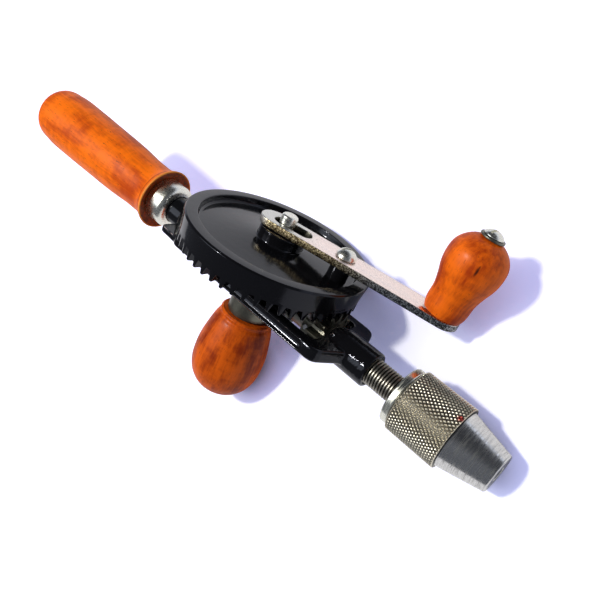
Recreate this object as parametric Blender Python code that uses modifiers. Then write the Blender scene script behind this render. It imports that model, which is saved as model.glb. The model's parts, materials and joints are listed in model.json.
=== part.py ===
"""A hand drill with an open cast frame, a toothed crown wheel, a pinion spindle and a three-jaw chuck.

The drill's own axes start where the wheel's axle crosses the spindle: X runs along the spindle to the
chuck and Z along the axle to the crank. An empty carries those axes, and lays the drill on its side
on the floor, where the wheel's rim, the side handle and the chuck touch. Sizes are in metres.
"""

import math

import bmesh
import bpy
import numpy as np
from mathutils import Matrix, Vector

# Gaps and fineness

seat_gap = 0.0003
running_gap = 0.0001
press_gap = 0.0001
cut_overrun = 0.002
merge_distance = 0.00001
arc_tolerance = 0.00012
turn_steps = 24
small_turn_steps = 16
smooth_angle = math.radians(35)
right_angle = math.radians(90)

# Crown wheel

wheel_radius = 0.0435
wheel_lip_height = 0.0221
wheel_taper = 0.001
wheel_lip_width = 0.003
wheel_ledge_drop = 0.0017
wheel_ledge_width = 0.0029
wheel_wall_slope = 0.0006
web_height = 0.0165
web_thickness = 0.0038
hub_tier_radius = 0.0108
hub_tier_height = 0.0200
hub_radius = 0.0092
hub_height = 0.0258
hub_foot_radius = 0.0070
hub_fillet = 0.0010
lip_edge = 0.0004
clamp_pad_radius = 0.0052

# Teeth of the wheel and the pinion

wheel_teeth = 52
pinion_teeth = 13
tooth_root_height = 0.0124
tooth_depth = 0.0041
tooth_ring_inner_radius = 0.0358
tooth_tip_share = 0.12
tooth_root_share = 0.27
pinion_root_radius = 0.0079
pinion_flank_radius = 0.0090
pinion_pitch_radius = 0.0104
pinion_shoulder_radius = 0.0112
pinion_tip_radius = 0.0116
pinion_root_thickness = 0.0026
pinion_flank_thickness = 0.0018
pinion_pitch_thickness = 0.0016
pinion_shoulder_thickness = 0.0009
pinion_tip_thickness = 0.0005
pinion_start = 0.0362
pinion_end = 0.0430
pinion_hub_radius = 0.0076
pinion_hub_length = 0.0044
pinion_pin_radius = 0.0012
pinion_pin_length = 0.0154

# Axle

axle_radius = 0.0030
axle_head_radius = 0.0037
axle_head_height = 0.0336
axle_head_edge = 0.0012
axle_pad_radius = 0.0075
axle_pad_height = 0.0034
axle_washer_radius = 0.0070
axle_washer_thickness = 0.0008
axle_foot = -seat_gap / 2

# Crank

crank_angle = math.radians(15.9)
crank_width = 0.0150
crank_thickness = 0.0033
crank_inner_reach = 0.0123
crank_edge = 0.0003
slot_start = -0.0060
slot_end = 0.0125
slot_width = 0.0081
clamp_rim_distance = 0.0140
clamp_shank_radius = 0.0024
clamp_shank_depth = 0.0110
clamp_head_radius = 0.0046
clamp_head_height = 0.0039
clamp_head_crown_radius = 0.0025
clamp_head_rim_height = 0.0009
crank_bottom = hub_height + seat_gap
crank_top = crank_bottom + crank_thickness
clamp_reach = wheel_radius - clamp_rim_distance

# Crank knob and its spindle

knob_reach = 0.0753
knob_lean = math.radians(3)
crank_end_margin = 0.0085
knob_length = 0.0360
knob_radius = 0.0128
knob_shares = (
    (1.000, 0.340), (0.965, 0.560), (0.900, 0.785), (0.810, 0.945), (0.665, 1.000), (0.540, 0.960),
    (0.400, 0.838), (0.280, 0.755), (0.030, 0.688), (0.000, 0.655),
)
knob_spindle_radius = 0.0026
rivet_head_radius = 0.0036
rivet_head_height = 0.0012
rivet_head_edge = 0.0010
knob_washer_radius = 0.0056
knob_washer_thickness = 0.0009
knob_screw_radius = 0.0015
knob_screw_depth = 0.0070
knob_screw_head_radius = 0.0036
knob_screw_head_height = 0.0020
knob_screw_head_edge = 0.0016
crank_outer_reach = knob_reach + crank_end_margin

# Frame casting

frame_thickness = 0.0061
frame_edge = 0.0007
frame_half_width = 0.0222
rail_width = 0.0062
front_corner_x = 0.0502
front_corner_radius = 0.0050
front_edge_x = 0.0556
front_edge_half_width = 0.0090
front_root_radius = 0.0030
arm_corner_x = -0.0370
arm_corner_radius = 0.0040
arm_root_x = -0.0530
arm_root_half_width = 0.0066
arm_width = 0.0028
web_plate_top = 0.0002
tail_corner_x = -0.0500
tail_corner_half_width = 0.0196
tail_corner_radius = 0.0022
tail_root_half_width = 0.0062
tail_edge_drop = 0.00015
window_start = 0.0205
window_end = 0.0436
window_corner_radius = 0.0030
hub_disc_radius = 0.0140
spine_half_width = 0.0040
pocket_corner_radius = 0.0020
groove_radius = 0.0026
groove_end_radius = 0.0025
groove_depth = 0.0016
groove_start = -0.0310
groove_end = 0.0440
neck_radius = 0.0069
neck_end = -0.0632
neck_start = -0.0500
neck_root_radius = 0.0036
tang_radius = 0.0035
tang_length = 0.0500
boss_radius = 0.0080
boss_root_radius = 0.0062
boss_root_length = 0.0066
boss_end = 0.0645
boss_chamfer = 0.0008
rear_bearing_radius = 0.0080
rear_bearing_start = 0.0106
rear_bearing_end = 0.0225
rear_bearing_edge = 0.0022
rear_bearing_wall = 0.0012
oil_hole_x = 0.0464
oil_hole_angle = math.radians(33)
oil_hole_radius = 0.0008
oil_ring_radius = 0.0017
oil_ring_height = 0.0074
side_boss_radius = 0.0088
side_boss_height = 0.0004

# Spindle

journal_radius = 0.0053
thread_radius = 0.0060
thread_start = 0.0659
spindle_end = 0.0930
spindle_chamfer = 0.0008
ball_radius = 0.0020
bush_flange_radius = 0.0070
bush_flange_thickness = 0.0010
bush_wall = 0.0009
bush_length = 0.0160

# Chuck

collar_start = 0.0811
collar_length = 0.0038
collar_radius = 0.0128
collar_bore = 0.0095
collar_edge = 0.0006
sleeve_radius = 0.01407
sleeve_bore = 0.0125
sleeve_end = 0.1084
sleeve_chamfer = 0.0008
nose_start_radius = 0.0126
nose_end_radius = 0.00834
nose_end = 0.1280
nose_edge = 0.0005
mouth_radius = 0.0036
mouth_depth = 0.0090
throat_radius = 0.0032
throat_end = 0.0970
socket_end = 0.0935
land_end = 0.0940
waist_radius = 0.0112
jaw_angle = math.radians(15)
jaw_radius = 0.0020
jaw_length = 0.0269
jaw_reach_closed = 0.0030
jaw_offset_closed = 0.0004
jaw_opening_travel = 0.01035
jaw_face_gap = 0.00015
jaw_count = 3
jaw_sector = math.radians(60)
nut_length = 0.0032
nut_groove_length = 0.0038
nut_bite = 0.0012
nut_split = 0.0004

# Main handle and its ferrule

handle_front = -0.0714
handle_length = 0.0998
handle_radius = 0.0153
handle_lip_radius = 0.0156
handle_lip_width = 0.0005
handle_dish_depth = 0.0015
handle_neck_radius = 0.0100
handle_neck_end = -0.0660
handle_shares = (
    (0.015, 1.000), (0.056, 0.899), (0.145, 0.873), (0.300, 0.935), (0.547, 0.977), (0.717, 1.000),
    (0.880, 0.982), (0.955, 0.895), (0.988, 0.686), (1.000, 0.000),
)
ferrule_radius = 0.01106
ferrule_shoulder = -0.0649
ferrule_front = -0.0616
ferrule_mouth_radius = 0.0072
ferrule_wall = 0.0008
ferrule_skirt = 0.0077

# Side handle and its ferrule

side_handle_top = 0.0180
side_handle_length = 0.0438
side_handle_radius = 0.0169
side_handle_shares = (
    (0.000, 0.704), (0.022, 0.745), (0.048, 0.722), (0.090, 0.780), (0.251, 0.899), (0.571, 1.000),
    (0.731, 0.959), (0.845, 0.846), (0.945, 0.620), (0.985, 0.400), (1.000, 0.000),
)
side_neck_radius = 0.0078
side_neck_height = 0.0100
side_ferrule_radius = 0.0100
side_ferrule_top_radius = 0.0086
side_ferrule_wall = 0.0009
side_ferrule_edge = 0.0010
stud_radius = 0.0030
stud_depth = 0.0440

black_enamel = ("black_enamel", (0.012, 0.012, 0.014), 0.25, 0.0)
stained_wood = ("stained_wood", (0.55, 0.13, 0.02), 0.35, 0.0)
polished_steel = ("polished_steel", (0.60, 0.60, 0.55), 0.22, 1.0)
dull_steel = ("dull_steel", (0.32, 0.31, 0.30), 0.45, 1.0)


def start_scene():
    """An empty scene with a collection for the drill and one for its cutters."""
    for old in list(bpy.data.objects):
        bpy.data.objects.remove(old)
    groups = {}
    for name in ("hand_drill", "cutters"):
        groups[name] = bpy.data.collections.new(name)
        bpy.context.scene.collection.children.link(groups[name])
    groups["cutters"].hide_render = True
    return groups


groups = start_scene()


def axes(name, matrix=None, parent=None):
    """An empty that carries the axes of what turns or slides together."""
    empty = bpy.data.objects.new(name, None)
    empty.empty_display_size = axle_head_height
    groups["hand_drill"].objects.link(empty)
    empty.parent = parent
    empty.matrix_local = matrix or Matrix()
    return empty


def along_x(start=0.0):
    """Turns local Z onto the spindle's X, for pieces that are turned about the spindle."""
    return Matrix.Translation((start, 0, 0)) @ Matrix.Rotation(right_angle, 4, "Y")


def finish_of(name, colour, roughness, metallic):
    if name in bpy.data.materials:
        return bpy.data.materials[name]
    material = bpy.data.materials.new(name)
    material.use_nodes = True
    shader = material.node_tree.nodes["Principled BSDF"]
    shader.inputs["Base Color"].default_value = (*colour, 1)
    shader.inputs["Roughness"].default_value = roughness
    shader.inputs["Metallic"].default_value = metallic
    return material


def solid(name, mesh, parent, matrix=None, finish=None):
    """A mesh as an object: a piece of the drill if it has a finish, else a cutter or a lug to join."""
    piece = bpy.data.objects.new(name, mesh)
    groups["hand_drill" if finish else "cutters"].objects.link(piece)
    piece.parent = parent
    piece.matrix_local = matrix or Matrix()
    if finish:
        mesh.materials.append(finish_of(*finish))
        mesh.shade_smooth()
        mesh.set_sharp_from_angle(angle=smooth_angle)
    else:
        piece.hide_render = True
        piece.display_type = "WIRE"
    return piece


def evaluated_mesh(name, source):
    """The mesh that a modifier or a curve makes, with its doubles merged."""
    bpy.context.view_layer.update()
    graph = bpy.context.evaluated_depsgraph_get()
    mesh = bpy.data.meshes.new_from_object(source.evaluated_get(graph))
    mesh.name = name
    data = source.data
    bpy.data.objects.remove(source)
    holder = bpy.data.meshes if isinstance(data, bpy.types.Mesh) else bpy.data.curves
    holder.remove(data)
    work = bmesh.new()
    work.from_mesh(mesh)
    bmesh.ops.remove_doubles(work, verts=work.verts, dist=merge_distance)
    bmesh.ops.recalc_face_normals(work, faces=work.faces)
    work.to_mesh(mesh)
    work.free()
    return mesh


def arc_steps(radius, turn):
    """How many short lines an arc needs to stay within the tolerance."""
    widest = 2 * math.acos(1 - min(arc_tolerance / radius, 1))
    return max(1, math.ceil(abs(turn) / widest))


def rounded(corners, closed=True):
    """The outline through corners, each (a, b) or (a, b, radius), with an arc at each radius."""
    points = []
    for index, corner in enumerate(corners):
        here = Vector(corner[:2])
        at_end = not closed and index in (0, len(corners) - 1)
        if len(corner) < 3 or at_end:
            points.append(here)
            continue
        radius = corner[2]
        back = (Vector(corners[index - 1][:2]) - here).normalized()
        ahead = (Vector(corners[(index + 1) % len(corners)][:2]) - here).normalized()
        half = back.angle(ahead) / 2
        centre = here + (back + ahead).normalized() * (radius / math.sin(half))
        first = here + back * (radius / math.tan(half)) - centre
        last = here + ahead * (radius / math.tan(half)) - centre
        start = math.atan2(first.y, first.x)
        turn = math.remainder(math.atan2(last.y, last.x) - start, math.tau)
        steps = arc_steps(radius, turn)
        for step in range(steps + 1):
            angle = start + turn * step / steps
            points.append(centre + radius * Vector((math.cos(angle), math.sin(angle))))
    return points


def through(stations, steps=2):
    """A smooth line through stations, with steps short lines between each two."""
    points = np.array(stations, float)
    reach = np.append(0, np.cumsum(np.linalg.norm(np.diff(points, axis=0), axis=1)))
    slope = np.gradient(points, reach, axis=0)
    line = [Vector(points[0])]
    for index in range(len(points) - 1):
        span = reach[index + 1] - reach[index]
        for step in range(1, steps + 1):
            share = step / steps
            rise = share * share * (3 - 2 * share)
            leave = share * (1 - share) ** 2 * span
            arrive = share * share * (share - 1) * span
            point = points[index] * (1 - rise) + points[index + 1] * rise
            line.append(Vector(point + slope[index] * leave + slope[index + 1] * arrive))
    return line


def scaled(shares, length, radius, start=0.0, direction=1):
    """Stations (radius, height) from shares of a length and of a radius."""
    return [(share[1] * radius, start + direction * share[0] * length) for share in shares]


def turned_mesh(name, outline, steps=turn_steps, ring=True):
    """An outline of (radius, height), running down its outer side, turned about Z."""
    mesh = bpy.data.meshes.new(name)
    count = len(outline)
    edges = [(index, index + 1) for index in range(count - 1)]
    if ring:
        edges.append((count - 1, 0))
    mesh.from_pydata([(point[0], 0, point[1]) for point in outline], edges, [])
    blank = bpy.data.objects.new(name, mesh)
    groups["cutters"].objects.link(blank)
    screw = blank.modifiers.new("turn", "SCREW")
    screw.steps = steps
    screw.render_steps = steps
    screw.use_merge_vertices = True
    screw.merge_threshold = merge_distance
    return evaluated_mesh(name, blank)


def bar_mesh(name, radius, start, end, edge=0.0, steps=small_turn_steps):
    """A round bar along Z from start to end, with its far edge rounded."""
    corners = [(0, end), (radius, end, edge) if edge else (radius, end), (radius, start), (0, start)]
    return turned_mesh(name, rounded(corners, closed=False), steps, ring=False)


def plate_mesh(name, outlines, bottom, top, edge=0.0):
    """A flat plate across Z, whose first outline is its rim and whose others are holes."""
    curve = bpy.data.curves.new(name, "CURVE")
    curve.dimensions = "2D"
    curve.fill_mode = "BOTH"
    curve.extrude = (top - bottom) / 2 - edge
    curve.bevel_depth = edge
    curve.bevel_resolution = 0
    curve.offset = -edge
    for outline in outlines:
        spline = curve.splines.new("POLY")
        spline.points.add(len(outline) - 1)
        for point, place in zip(spline.points, outline):
            point.co = (place[0], place[1], 0, 1)
        spline.use_cyclic_u = True
    blank = bpy.data.objects.new(name, curve)
    groups["cutters"].objects.link(blank)
    mesh = evaluated_mesh(name, blank)
    mesh.transform(Matrix.Translation((0, 0, (top + bottom) / 2)))
    return mesh


def block_mesh(name, low, high):
    """A box between two corners."""
    work = bmesh.new()
    size = Vector(high) - Vector(low)
    place = Matrix.Translation((Vector(high) + Vector(low)) / 2) @ Matrix.Diagonal((*size, 1))
    bmesh.ops.create_cube(work, size=1, matrix=place)
    mesh = bpy.data.meshes.new(name)
    work.to_mesh(mesh)
    work.free()
    return mesh


def boolean(piece, other, operation):
    modifier = piece.modifiers.new(other.name, "BOOLEAN")
    modifier.operation = operation
    modifier.solver = "EXACT"
    modifier.object = other


def cut(piece, name, mesh, matrix=None):
    boolean(piece, solid(name, mesh, piece.parent, matrix), "DIFFERENCE")


def join(piece, name, mesh, matrix=None):
    boolean(piece, solid(name, mesh, piece.parent, matrix), "UNION")


def round_slot(start, end, width):
    """The outline of a slot with round ends, along X."""
    reach = width / 2
    corners = [(start - reach, -reach, reach), (end + reach, -reach, reach)]
    corners += [(end + reach, reach, reach), (start - reach, reach, reach)]
    return rounded(corners)


def circle(centre, radius, steps=small_turn_steps):
    angles = [math.tau * step / steps for step in range(steps)]
    return [Vector((centre + radius * math.cos(angle), radius * math.sin(angle))) for angle in angles]


# How the drill lies

steepest_pitch = math.radians(45)
steepest_tilt = math.radians(60)
wheel_tip_height = tooth_root_height - tooth_depth


def wheel_edge_radius(height):
    """The rim's outer radius, which draws in from the lip to the tooth tips."""
    share = (wheel_lip_height - height) / (wheel_lip_height - wheel_tip_height)
    return wheel_radius - wheel_taper * share


def side_handle_stations():
    return scaled(side_handle_shares, side_handle_length, side_handle_radius, -side_handle_top, -1)


def reach_down(circles, up):
    """How far below the drill's origin a set of (centre, axis, radius) circles reaches."""
    reach = []
    for centre, axis, radius in circles:
        reach.append(radius * math.sqrt(1 - axis.dot(up) ** 2) - centre.dot(up))
    return max(reach)


def up_direction(tilt, pitch):
    side = Vector((0, -math.cos(tilt), math.sin(tilt)))
    return Vector((-math.sin(pitch), 0, 0)) + math.cos(pitch) * side


def zero_of(function, low, high, rounds=40):
    """Where a function that grows through zero between low and high crosses it."""
    for _ in range(rounds):
        middle = (low + high) / 2
        if function(middle) > 0:
            high = middle
        else:
            low = middle
    return (low + high) / 2


def lying_matrix():
    """The turn that lays the drill on its wheel's rim, its side handle and its chuck."""
    x_axis = Vector((1, 0, 0))
    z_axis = Vector((0, 0, 1))
    edges = (wheel_tip_height, wheel_lip_height)
    wheel = [(z_axis * height, z_axis, wheel_edge_radius(height)) for height in edges]
    handle = [(z_axis * height, z_axis, radius) for radius, height in side_handle_stations()]
    sleeve_edge = (x_axis * (sleeve_end - sleeve_chamfer), x_axis, sleeve_radius)
    chuck = [sleeve_edge, (x_axis * nose_end, x_axis, nose_end_radius)]

    def pitch_at(tilt):
        def gap(pitch):
            up = up_direction(tilt, pitch)
            return reach_down(chuck, up) - reach_down(wheel, up)

        return zero_of(gap, 0, steepest_pitch)

    def tilt_gap(tilt):
        up = up_direction(tilt, pitch_at(tilt))
        return reach_down(handle, up) - reach_down(wheel, up)

    tilt = zero_of(tilt_gap, 0, steepest_tilt)
    up = up_direction(tilt, pitch_at(tilt))
    ahead = (x_axis - up * x_axis.dot(up)).normalized()
    return Matrix((ahead, up.cross(ahead), up)).to_4x4()


drill_axes = axes("drill_axes", lying_matrix())
crank_axes = axes("crank_axes", Matrix.Rotation(crank_angle, 4, "Z"), drill_axes)
knob_place = Matrix.Translation((knob_reach, 0, crank_top)) @ Matrix.Rotation(knob_lean, 4, "Y")
knob_axes = axes("knob_axes", knob_place, crank_axes)
spindle_axes = axes("spindle_axes", None, drill_axes)
sleeve_axes = axes("sleeve_axes", None, spindle_axes)


def make_main_handle():
    """Turned wood with a dished front, a neck that fills the ferrule and a bore for the tang."""
    bore = tang_radius + press_gap
    bore_end = neck_end - tang_length - seat_gap
    back = handle_front - handle_dish_depth
    outside = through(scaled(handle_shares, handle_length, handle_radius, handle_front, -1))
    front = rounded([
        (bore, handle_neck_end), (handle_neck_radius, handle_neck_end), (handle_neck_radius, back),
        (ferrule_radius + 2 * seat_gap, back), (handle_lip_radius - handle_lip_width, handle_front),
        (handle_lip_radius, handle_front), (handle_lip_radius, handle_front - handle_lip_width),
    ], closed=False)
    outline = front + outside + [Vector((0, bore_end)), Vector((bore, bore_end))]
    mesh = turned_mesh("main_handle", outline)
    solid("main_handle", mesh, drill_axes, along_x(), stained_wood)


def make_handle_ferrule():
    """A domed steel cup over the handle's neck, with a hole for the frame's neck."""
    inner = ferrule_radius - ferrule_wall
    skirt_end = ferrule_shoulder - ferrule_skirt
    steps = arc_steps(ferrule_radius - ferrule_mouth_radius, right_angle)
    outside = []
    inside = []
    depth = ferrule_front - ferrule_shoulder
    width = ferrule_radius - ferrule_mouth_radius
    for step in range(steps + 1):
        angle = right_angle * step / steps
        radius = ferrule_mouth_radius + width * math.sin(angle)
        height = ferrule_shoulder + depth * math.cos(angle)
        outside.append((radius, height))
        inside.append((min(radius, inner), height - ferrule_wall))
    outline = outside + [(ferrule_radius, skirt_end), (inner, skirt_end)] + inside[::-1]
    mesh = turned_mesh("handle_ferrule", outline)
    solid("handle_ferrule", mesh, drill_axes, along_x(), polished_steel)


def mirrored(half):
    """A closed outline from its half on the negative Y side, listed from back to front."""
    return half + [(corner[0], -corner[1], *corner[2:]) for corner in half[::-1]]


def make_frame():
    """The casting: rails round an open window, a web, a neck with its tang, bearings and a front boss."""
    low = -frame_thickness / 2
    high = frame_thickness / 2
    inner = frame_half_width - rail_width
    rim = rounded(mirrored([
        (arm_root_x, -arm_root_half_width), (arm_corner_x, -frame_half_width, arm_corner_radius),
        (front_corner_x, -frame_half_width, front_corner_radius),
        (front_edge_x, -front_edge_half_width, front_root_radius),
        (boss_end - boss_root_length, -boss_root_radius),
    ]))
    window = rounded([
        (window_start, -inner, window_corner_radius), (window_end, -inner, window_corner_radius),
        (window_end, inner, window_corner_radius), (window_start, inner, window_corner_radius),
    ])
    casting = plate_mesh("frame", [rim, window], low, high, frame_edge)
    frame = solid("frame", casting, drill_axes, None, black_enamel)

    for side in (-1, 1):
        arm_slope = (frame_half_width - arm_root_half_width) / (arm_corner_x - arm_root_x)
        pocket_x = arm_corner_x + arm_width
        root_x = pocket_x - (inner - spine_half_width) / arm_slope
        pocket = rounded([
            (root_x, side * spine_half_width, pocket_corner_radius),
            (pocket_x, side * inner, pocket_corner_radius),
            (hub_disc_radius, side * inner, pocket_corner_radius),
            (hub_disc_radius, side * spine_half_width),
        ])
        cut(frame, "web_pocket", plate_mesh("web_pocket", [pocket], web_plate_top, high + cut_overrun))
        tail = rounded([
            (neck_start, side * tail_root_half_width), (tail_corner_x, side * tail_root_half_width),
            (tail_corner_x, side * tail_corner_half_width, tail_corner_radius),
            (arm_corner_x + arm_width, side * (frame_half_width - arm_width / 2)),
        ])
        tail_plate = plate_mesh("tail_plate", [tail], low + tail_edge_drop, web_plate_top - tail_edge_drop)
        join(frame, "tail_plate", tail_plate)
        groove_offset = frame_half_width + groove_radius - groove_depth
        groove = bar_mesh("rail_groove", groove_radius, groove_start, groove_end, groove_end_radius)
        place = Matrix.Translation((0, side * groove_offset, 0)) @ along_x()
        cut(frame, "rail_groove", groove, place)

    disc = turned_mesh("hub_disc", [
        (0, axle_pad_height), (axle_pad_radius, axle_pad_height), (axle_pad_radius, high - tail_edge_drop),
        (hub_disc_radius, high - tail_edge_drop), (hub_disc_radius, low + tail_edge_drop),
        (side_boss_radius, low + tail_edge_drop), (side_boss_radius, low - side_boss_height),
        (0, low - side_boss_height),
    ], ring=False)
    join(frame, "hub_disc", disc)
    neck = turned_mesh("neck_and_tang", rounded([
        (0, neck_start + neck_radius), (neck_root_radius, neck_start + neck_radius),
        (neck_radius, neck_start, neck_radius), (neck_radius, neck_end), (tang_radius, neck_end),
        (tang_radius, neck_end - tang_length),
        (0, neck_end - tang_length),
    ], closed=False), ring=False)
    join(frame, "neck_and_tang", neck, along_x())
    boss = turned_mesh("front_boss", rounded([
        (0, boss_end), (boss_radius, boss_end, boss_chamfer),
        (boss_radius, window_end + boss_root_length, boss_radius),
        (boss_root_radius, window_end + tail_edge_drop), (0, window_end + tail_edge_drop),
    ], closed=False), ring=False)
    join(frame, "front_boss", boss, along_x())
    bearing = turned_mesh("rear_bearing", rounded([
        (0, rear_bearing_end), (rear_bearing_radius, rear_bearing_end),
        (rear_bearing_radius, rear_bearing_start, rear_bearing_edge), (0, rear_bearing_start),
    ], closed=False), ring=False)
    join(frame, "rear_bearing", bearing, along_x())
    oil_turn = Matrix.Rotation(right_angle - oil_hole_angle, 4, "X")
    oil_axes = Matrix.Translation((oil_hole_x, 0, 0)) @ oil_turn
    oil_ring = bar_mesh("oil_ring", oil_ring_radius, journal_radius, oil_ring_height)
    join(frame, "oil_ring", oil_ring, oil_axes)

    shaft_bore = journal_radius + running_gap
    rear_bore_start = rear_bearing_start + rear_bearing_wall
    rear_bore = bar_mesh(
        "rear_bore", shaft_bore, rear_bore_start, rear_bearing_end + cut_overrun, steps=turn_steps)
    cut(frame, "rear_bore", rear_bore, along_x())
    bush_seat = bush_outer_radius() + press_gap
    bush_start = boss_end - bush_length - seat_gap
    front_bore = turned_mesh("front_bore", [
        (0, boss_end + cut_overrun), (bush_seat, boss_end + cut_overrun), (bush_seat, bush_start),
        (shaft_bore, bush_start), (shaft_bore, window_end - cut_overrun), (0, window_end - cut_overrun),
    ], ring=False)
    cut(frame, "front_bore", front_bore, along_x())
    oil_hole = bar_mesh("oil_hole", oil_hole_radius, 0, oil_ring_height + cut_overrun)
    cut(frame, "oil_hole", oil_hole, oil_axes)
    axle_bore = bar_mesh(
        "axle_bore", axle_radius + press_gap, low - side_boss_height - cut_overrun,
        axle_pad_height + cut_overrun)
    cut(frame, "axle_bore", axle_bore)


def bush_outer_radius():
    return journal_radius + running_gap + bush_wall


def make_front_bush():
    """A flanged bush in the front boss."""
    bore = journal_radius + running_gap
    flange_start = boss_end + seat_gap
    flange_end = flange_start + bush_flange_thickness
    mesh = turned_mesh("front_bush", [
        (bore, flange_end), (bush_flange_radius, flange_end), (bush_flange_radius, flange_start),
        (bush_outer_radius(), flange_start), (bush_outer_radius(), boss_end - bush_length),
        (bore, boss_end - bush_length),
    ])
    solid("front_bush", mesh, drill_axes, along_x(), dull_steel)


def make_axle():
    """The headed stud that the wheel turns on, screwed into the frame."""
    head_foot = hub_height + seat_gap
    mesh = turned_mesh("wheel_axle", rounded([
        (0, axle_head_height), (axle_head_radius, axle_head_height, axle_head_edge),
        (axle_head_radius, head_foot), (axle_radius, head_foot), (axle_radius, axle_foot), (0, axle_foot),
    ], closed=False), small_turn_steps, ring=False)
    solid("wheel_axle", mesh, drill_axes, None, polished_steel)
    bore = axle_radius + running_gap
    start = axle_pad_height + seat_gap
    end = start + axle_washer_thickness
    washer = [(bore, end), (axle_washer_radius, end), (axle_washer_radius, start), (bore, start)]
    solid("axle_washer", turned_mesh("axle_washer", washer, small_turn_steps), drill_axes, None, dull_steel)


def make_thrust_ball():
    """The ball that takes the spindle's thrust, at the bottom of its rear bearing."""
    mesh = bpy.data.meshes.new("thrust_ball")
    work = bmesh.new()
    bmesh.ops.create_icosphere(work, subdivisions=2, radius=ball_radius)
    work.to_mesh(mesh)
    work.free()
    place = Matrix.Translation((rear_bearing_start + rear_bearing_wall + seat_gap + ball_radius, 0, 0))
    solid("thrust_ball", mesh, drill_axes, place, polished_steel)


def make_side_handle():
    """Turned wood on a stud, in line with the wheel's axle on the frame's other side."""
    boss_foot = -frame_thickness / 2 - side_boss_height
    wood_top = -side_handle_top
    bore = stud_radius + press_gap
    bore_end = boss_foot - stud_depth - seat_gap
    neck_top = wood_top + side_neck_height
    outside = through(side_handle_stations())
    top = [Vector((bore, neck_top)), Vector((side_neck_radius, neck_top))]
    top += [Vector((side_neck_radius, wood_top))]
    outline = top + outside + [Vector((0, bore_end)), Vector((bore, bore_end))]
    solid("side_handle", turned_mesh("side_handle", outline), drill_axes, None, stained_wood)

    cup_top = boss_foot - seat_gap
    cup_foot = wood_top + seat_gap
    inner = side_ferrule_radius - side_ferrule_wall
    cup = rounded([
        (bore, cup_top), (side_ferrule_top_radius, cup_top, side_ferrule_edge),
        (side_ferrule_radius, cup_top - 2 * side_ferrule_edge), (side_ferrule_radius, cup_foot),
        (inner, cup_foot), (inner, cup_top - 2 * side_ferrule_edge - side_ferrule_wall),
        (side_ferrule_top_radius - side_ferrule_wall, cup_top - side_ferrule_wall),
        (bore, cup_top - side_ferrule_wall),
    ])
    solid("side_ferrule", turned_mesh("side_ferrule", cup), drill_axes, None, polished_steel)
    stud = bar_mesh("side_handle_stud", stud_radius, boss_foot - stud_depth, axle_foot - seat_gap)
    solid("side_handle_stud", stud, drill_axes, None, dull_steel)


def tooth_gap_cutter():
    """The gaps between the crown wheel's teeth, each a wedge that widens with its radius."""
    pitch = math.tau / wheel_teeth
    inner = tooth_ring_inner_radius - cut_overrun
    outer = wheel_radius + cut_overrun
    foot = wheel_tip_height - cut_overrun
    rise = tooth_root_height - wheel_tip_height
    spread = (tooth_root_share - tooth_tip_share) * pitch / rise
    work = bmesh.new()
    for tooth in range(wheel_teeth):
        wedge = bmesh.ops.create_cube(work, size=2)["verts"]
        for corner in wedge:
            radius = outer if corner.co.x > 0 else inner
            height = tooth_root_height if corner.co.z > 0 else foot
            half_tooth = tooth_tip_share * pitch + spread * (height - wheel_tip_height)
            width = radius * (pitch / 2 - half_tooth)
            corner.co = (radius, width * corner.co.y, height)
        turn = Matrix.Rotation(pitch * tooth - crank_angle, 3, "Z")
        bmesh.ops.rotate(work, verts=wedge, cent=(0, 0, 0), matrix=turn)
    mesh = bpy.data.meshes.new("tooth_gaps")
    work.to_mesh(mesh)
    work.free()
    return mesh


def make_gear_wheel():
    """The crown wheel: a dished web with a hub and a rim, whose teeth face the pinion."""
    bore = axle_radius + running_gap
    web_bottom = web_height - web_thickness
    lip_inner = wheel_radius - wheel_lip_width
    ledge_height = wheel_lip_height - wheel_ledge_drop
    ledge_inner = lip_inner - wheel_ledge_width
    hub_foot = axle_pad_height + axle_washer_thickness + 2 * seat_gap
    outline = rounded([
        (bore, hub_height), (hub_radius, hub_height, lip_edge), (hub_radius, hub_tier_height),
        (hub_tier_radius, hub_tier_height, lip_edge), (hub_tier_radius, web_height, hub_fillet),
        (ledge_inner - wheel_wall_slope, web_height, hub_fillet), (ledge_inner, ledge_height),
        (lip_inner - wheel_wall_slope, ledge_height), (lip_inner, wheel_lip_height),
        (wheel_radius, wheel_lip_height, lip_edge), (wheel_edge_radius(wheel_tip_height), wheel_tip_height),
        (tooth_ring_inner_radius, wheel_tip_height), (tooth_ring_inner_radius, web_bottom),
        (hub_foot_radius, web_bottom), (hub_foot_radius, hub_foot), (bore, hub_foot),
    ])
    mesh = turned_mesh("gear_wheel", outline, wheel_teeth)
    mesh.transform(Matrix.Rotation(-crank_angle, 4, "Z"))
    wheel = solid("gear_wheel", mesh, crank_axes, None, black_enamel)
    pad = bar_mesh("clamp_pad", clamp_pad_radius, web_height - web_thickness / 2, hub_height)
    join(wheel, "clamp_pad", pad, Matrix.Translation((clamp_reach, 0, 0)))
    cut(wheel, "tooth_gaps", tooth_gap_cutter())
    hole_end = hub_height - clamp_shank_depth - seat_gap
    hole = bar_mesh("clamp_hole", clamp_shank_radius + press_gap, hole_end, hub_height + cut_overrun)
    cut(wheel, "clamp_hole", hole, Matrix.Translation((clamp_reach, 0, 0)))


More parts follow.
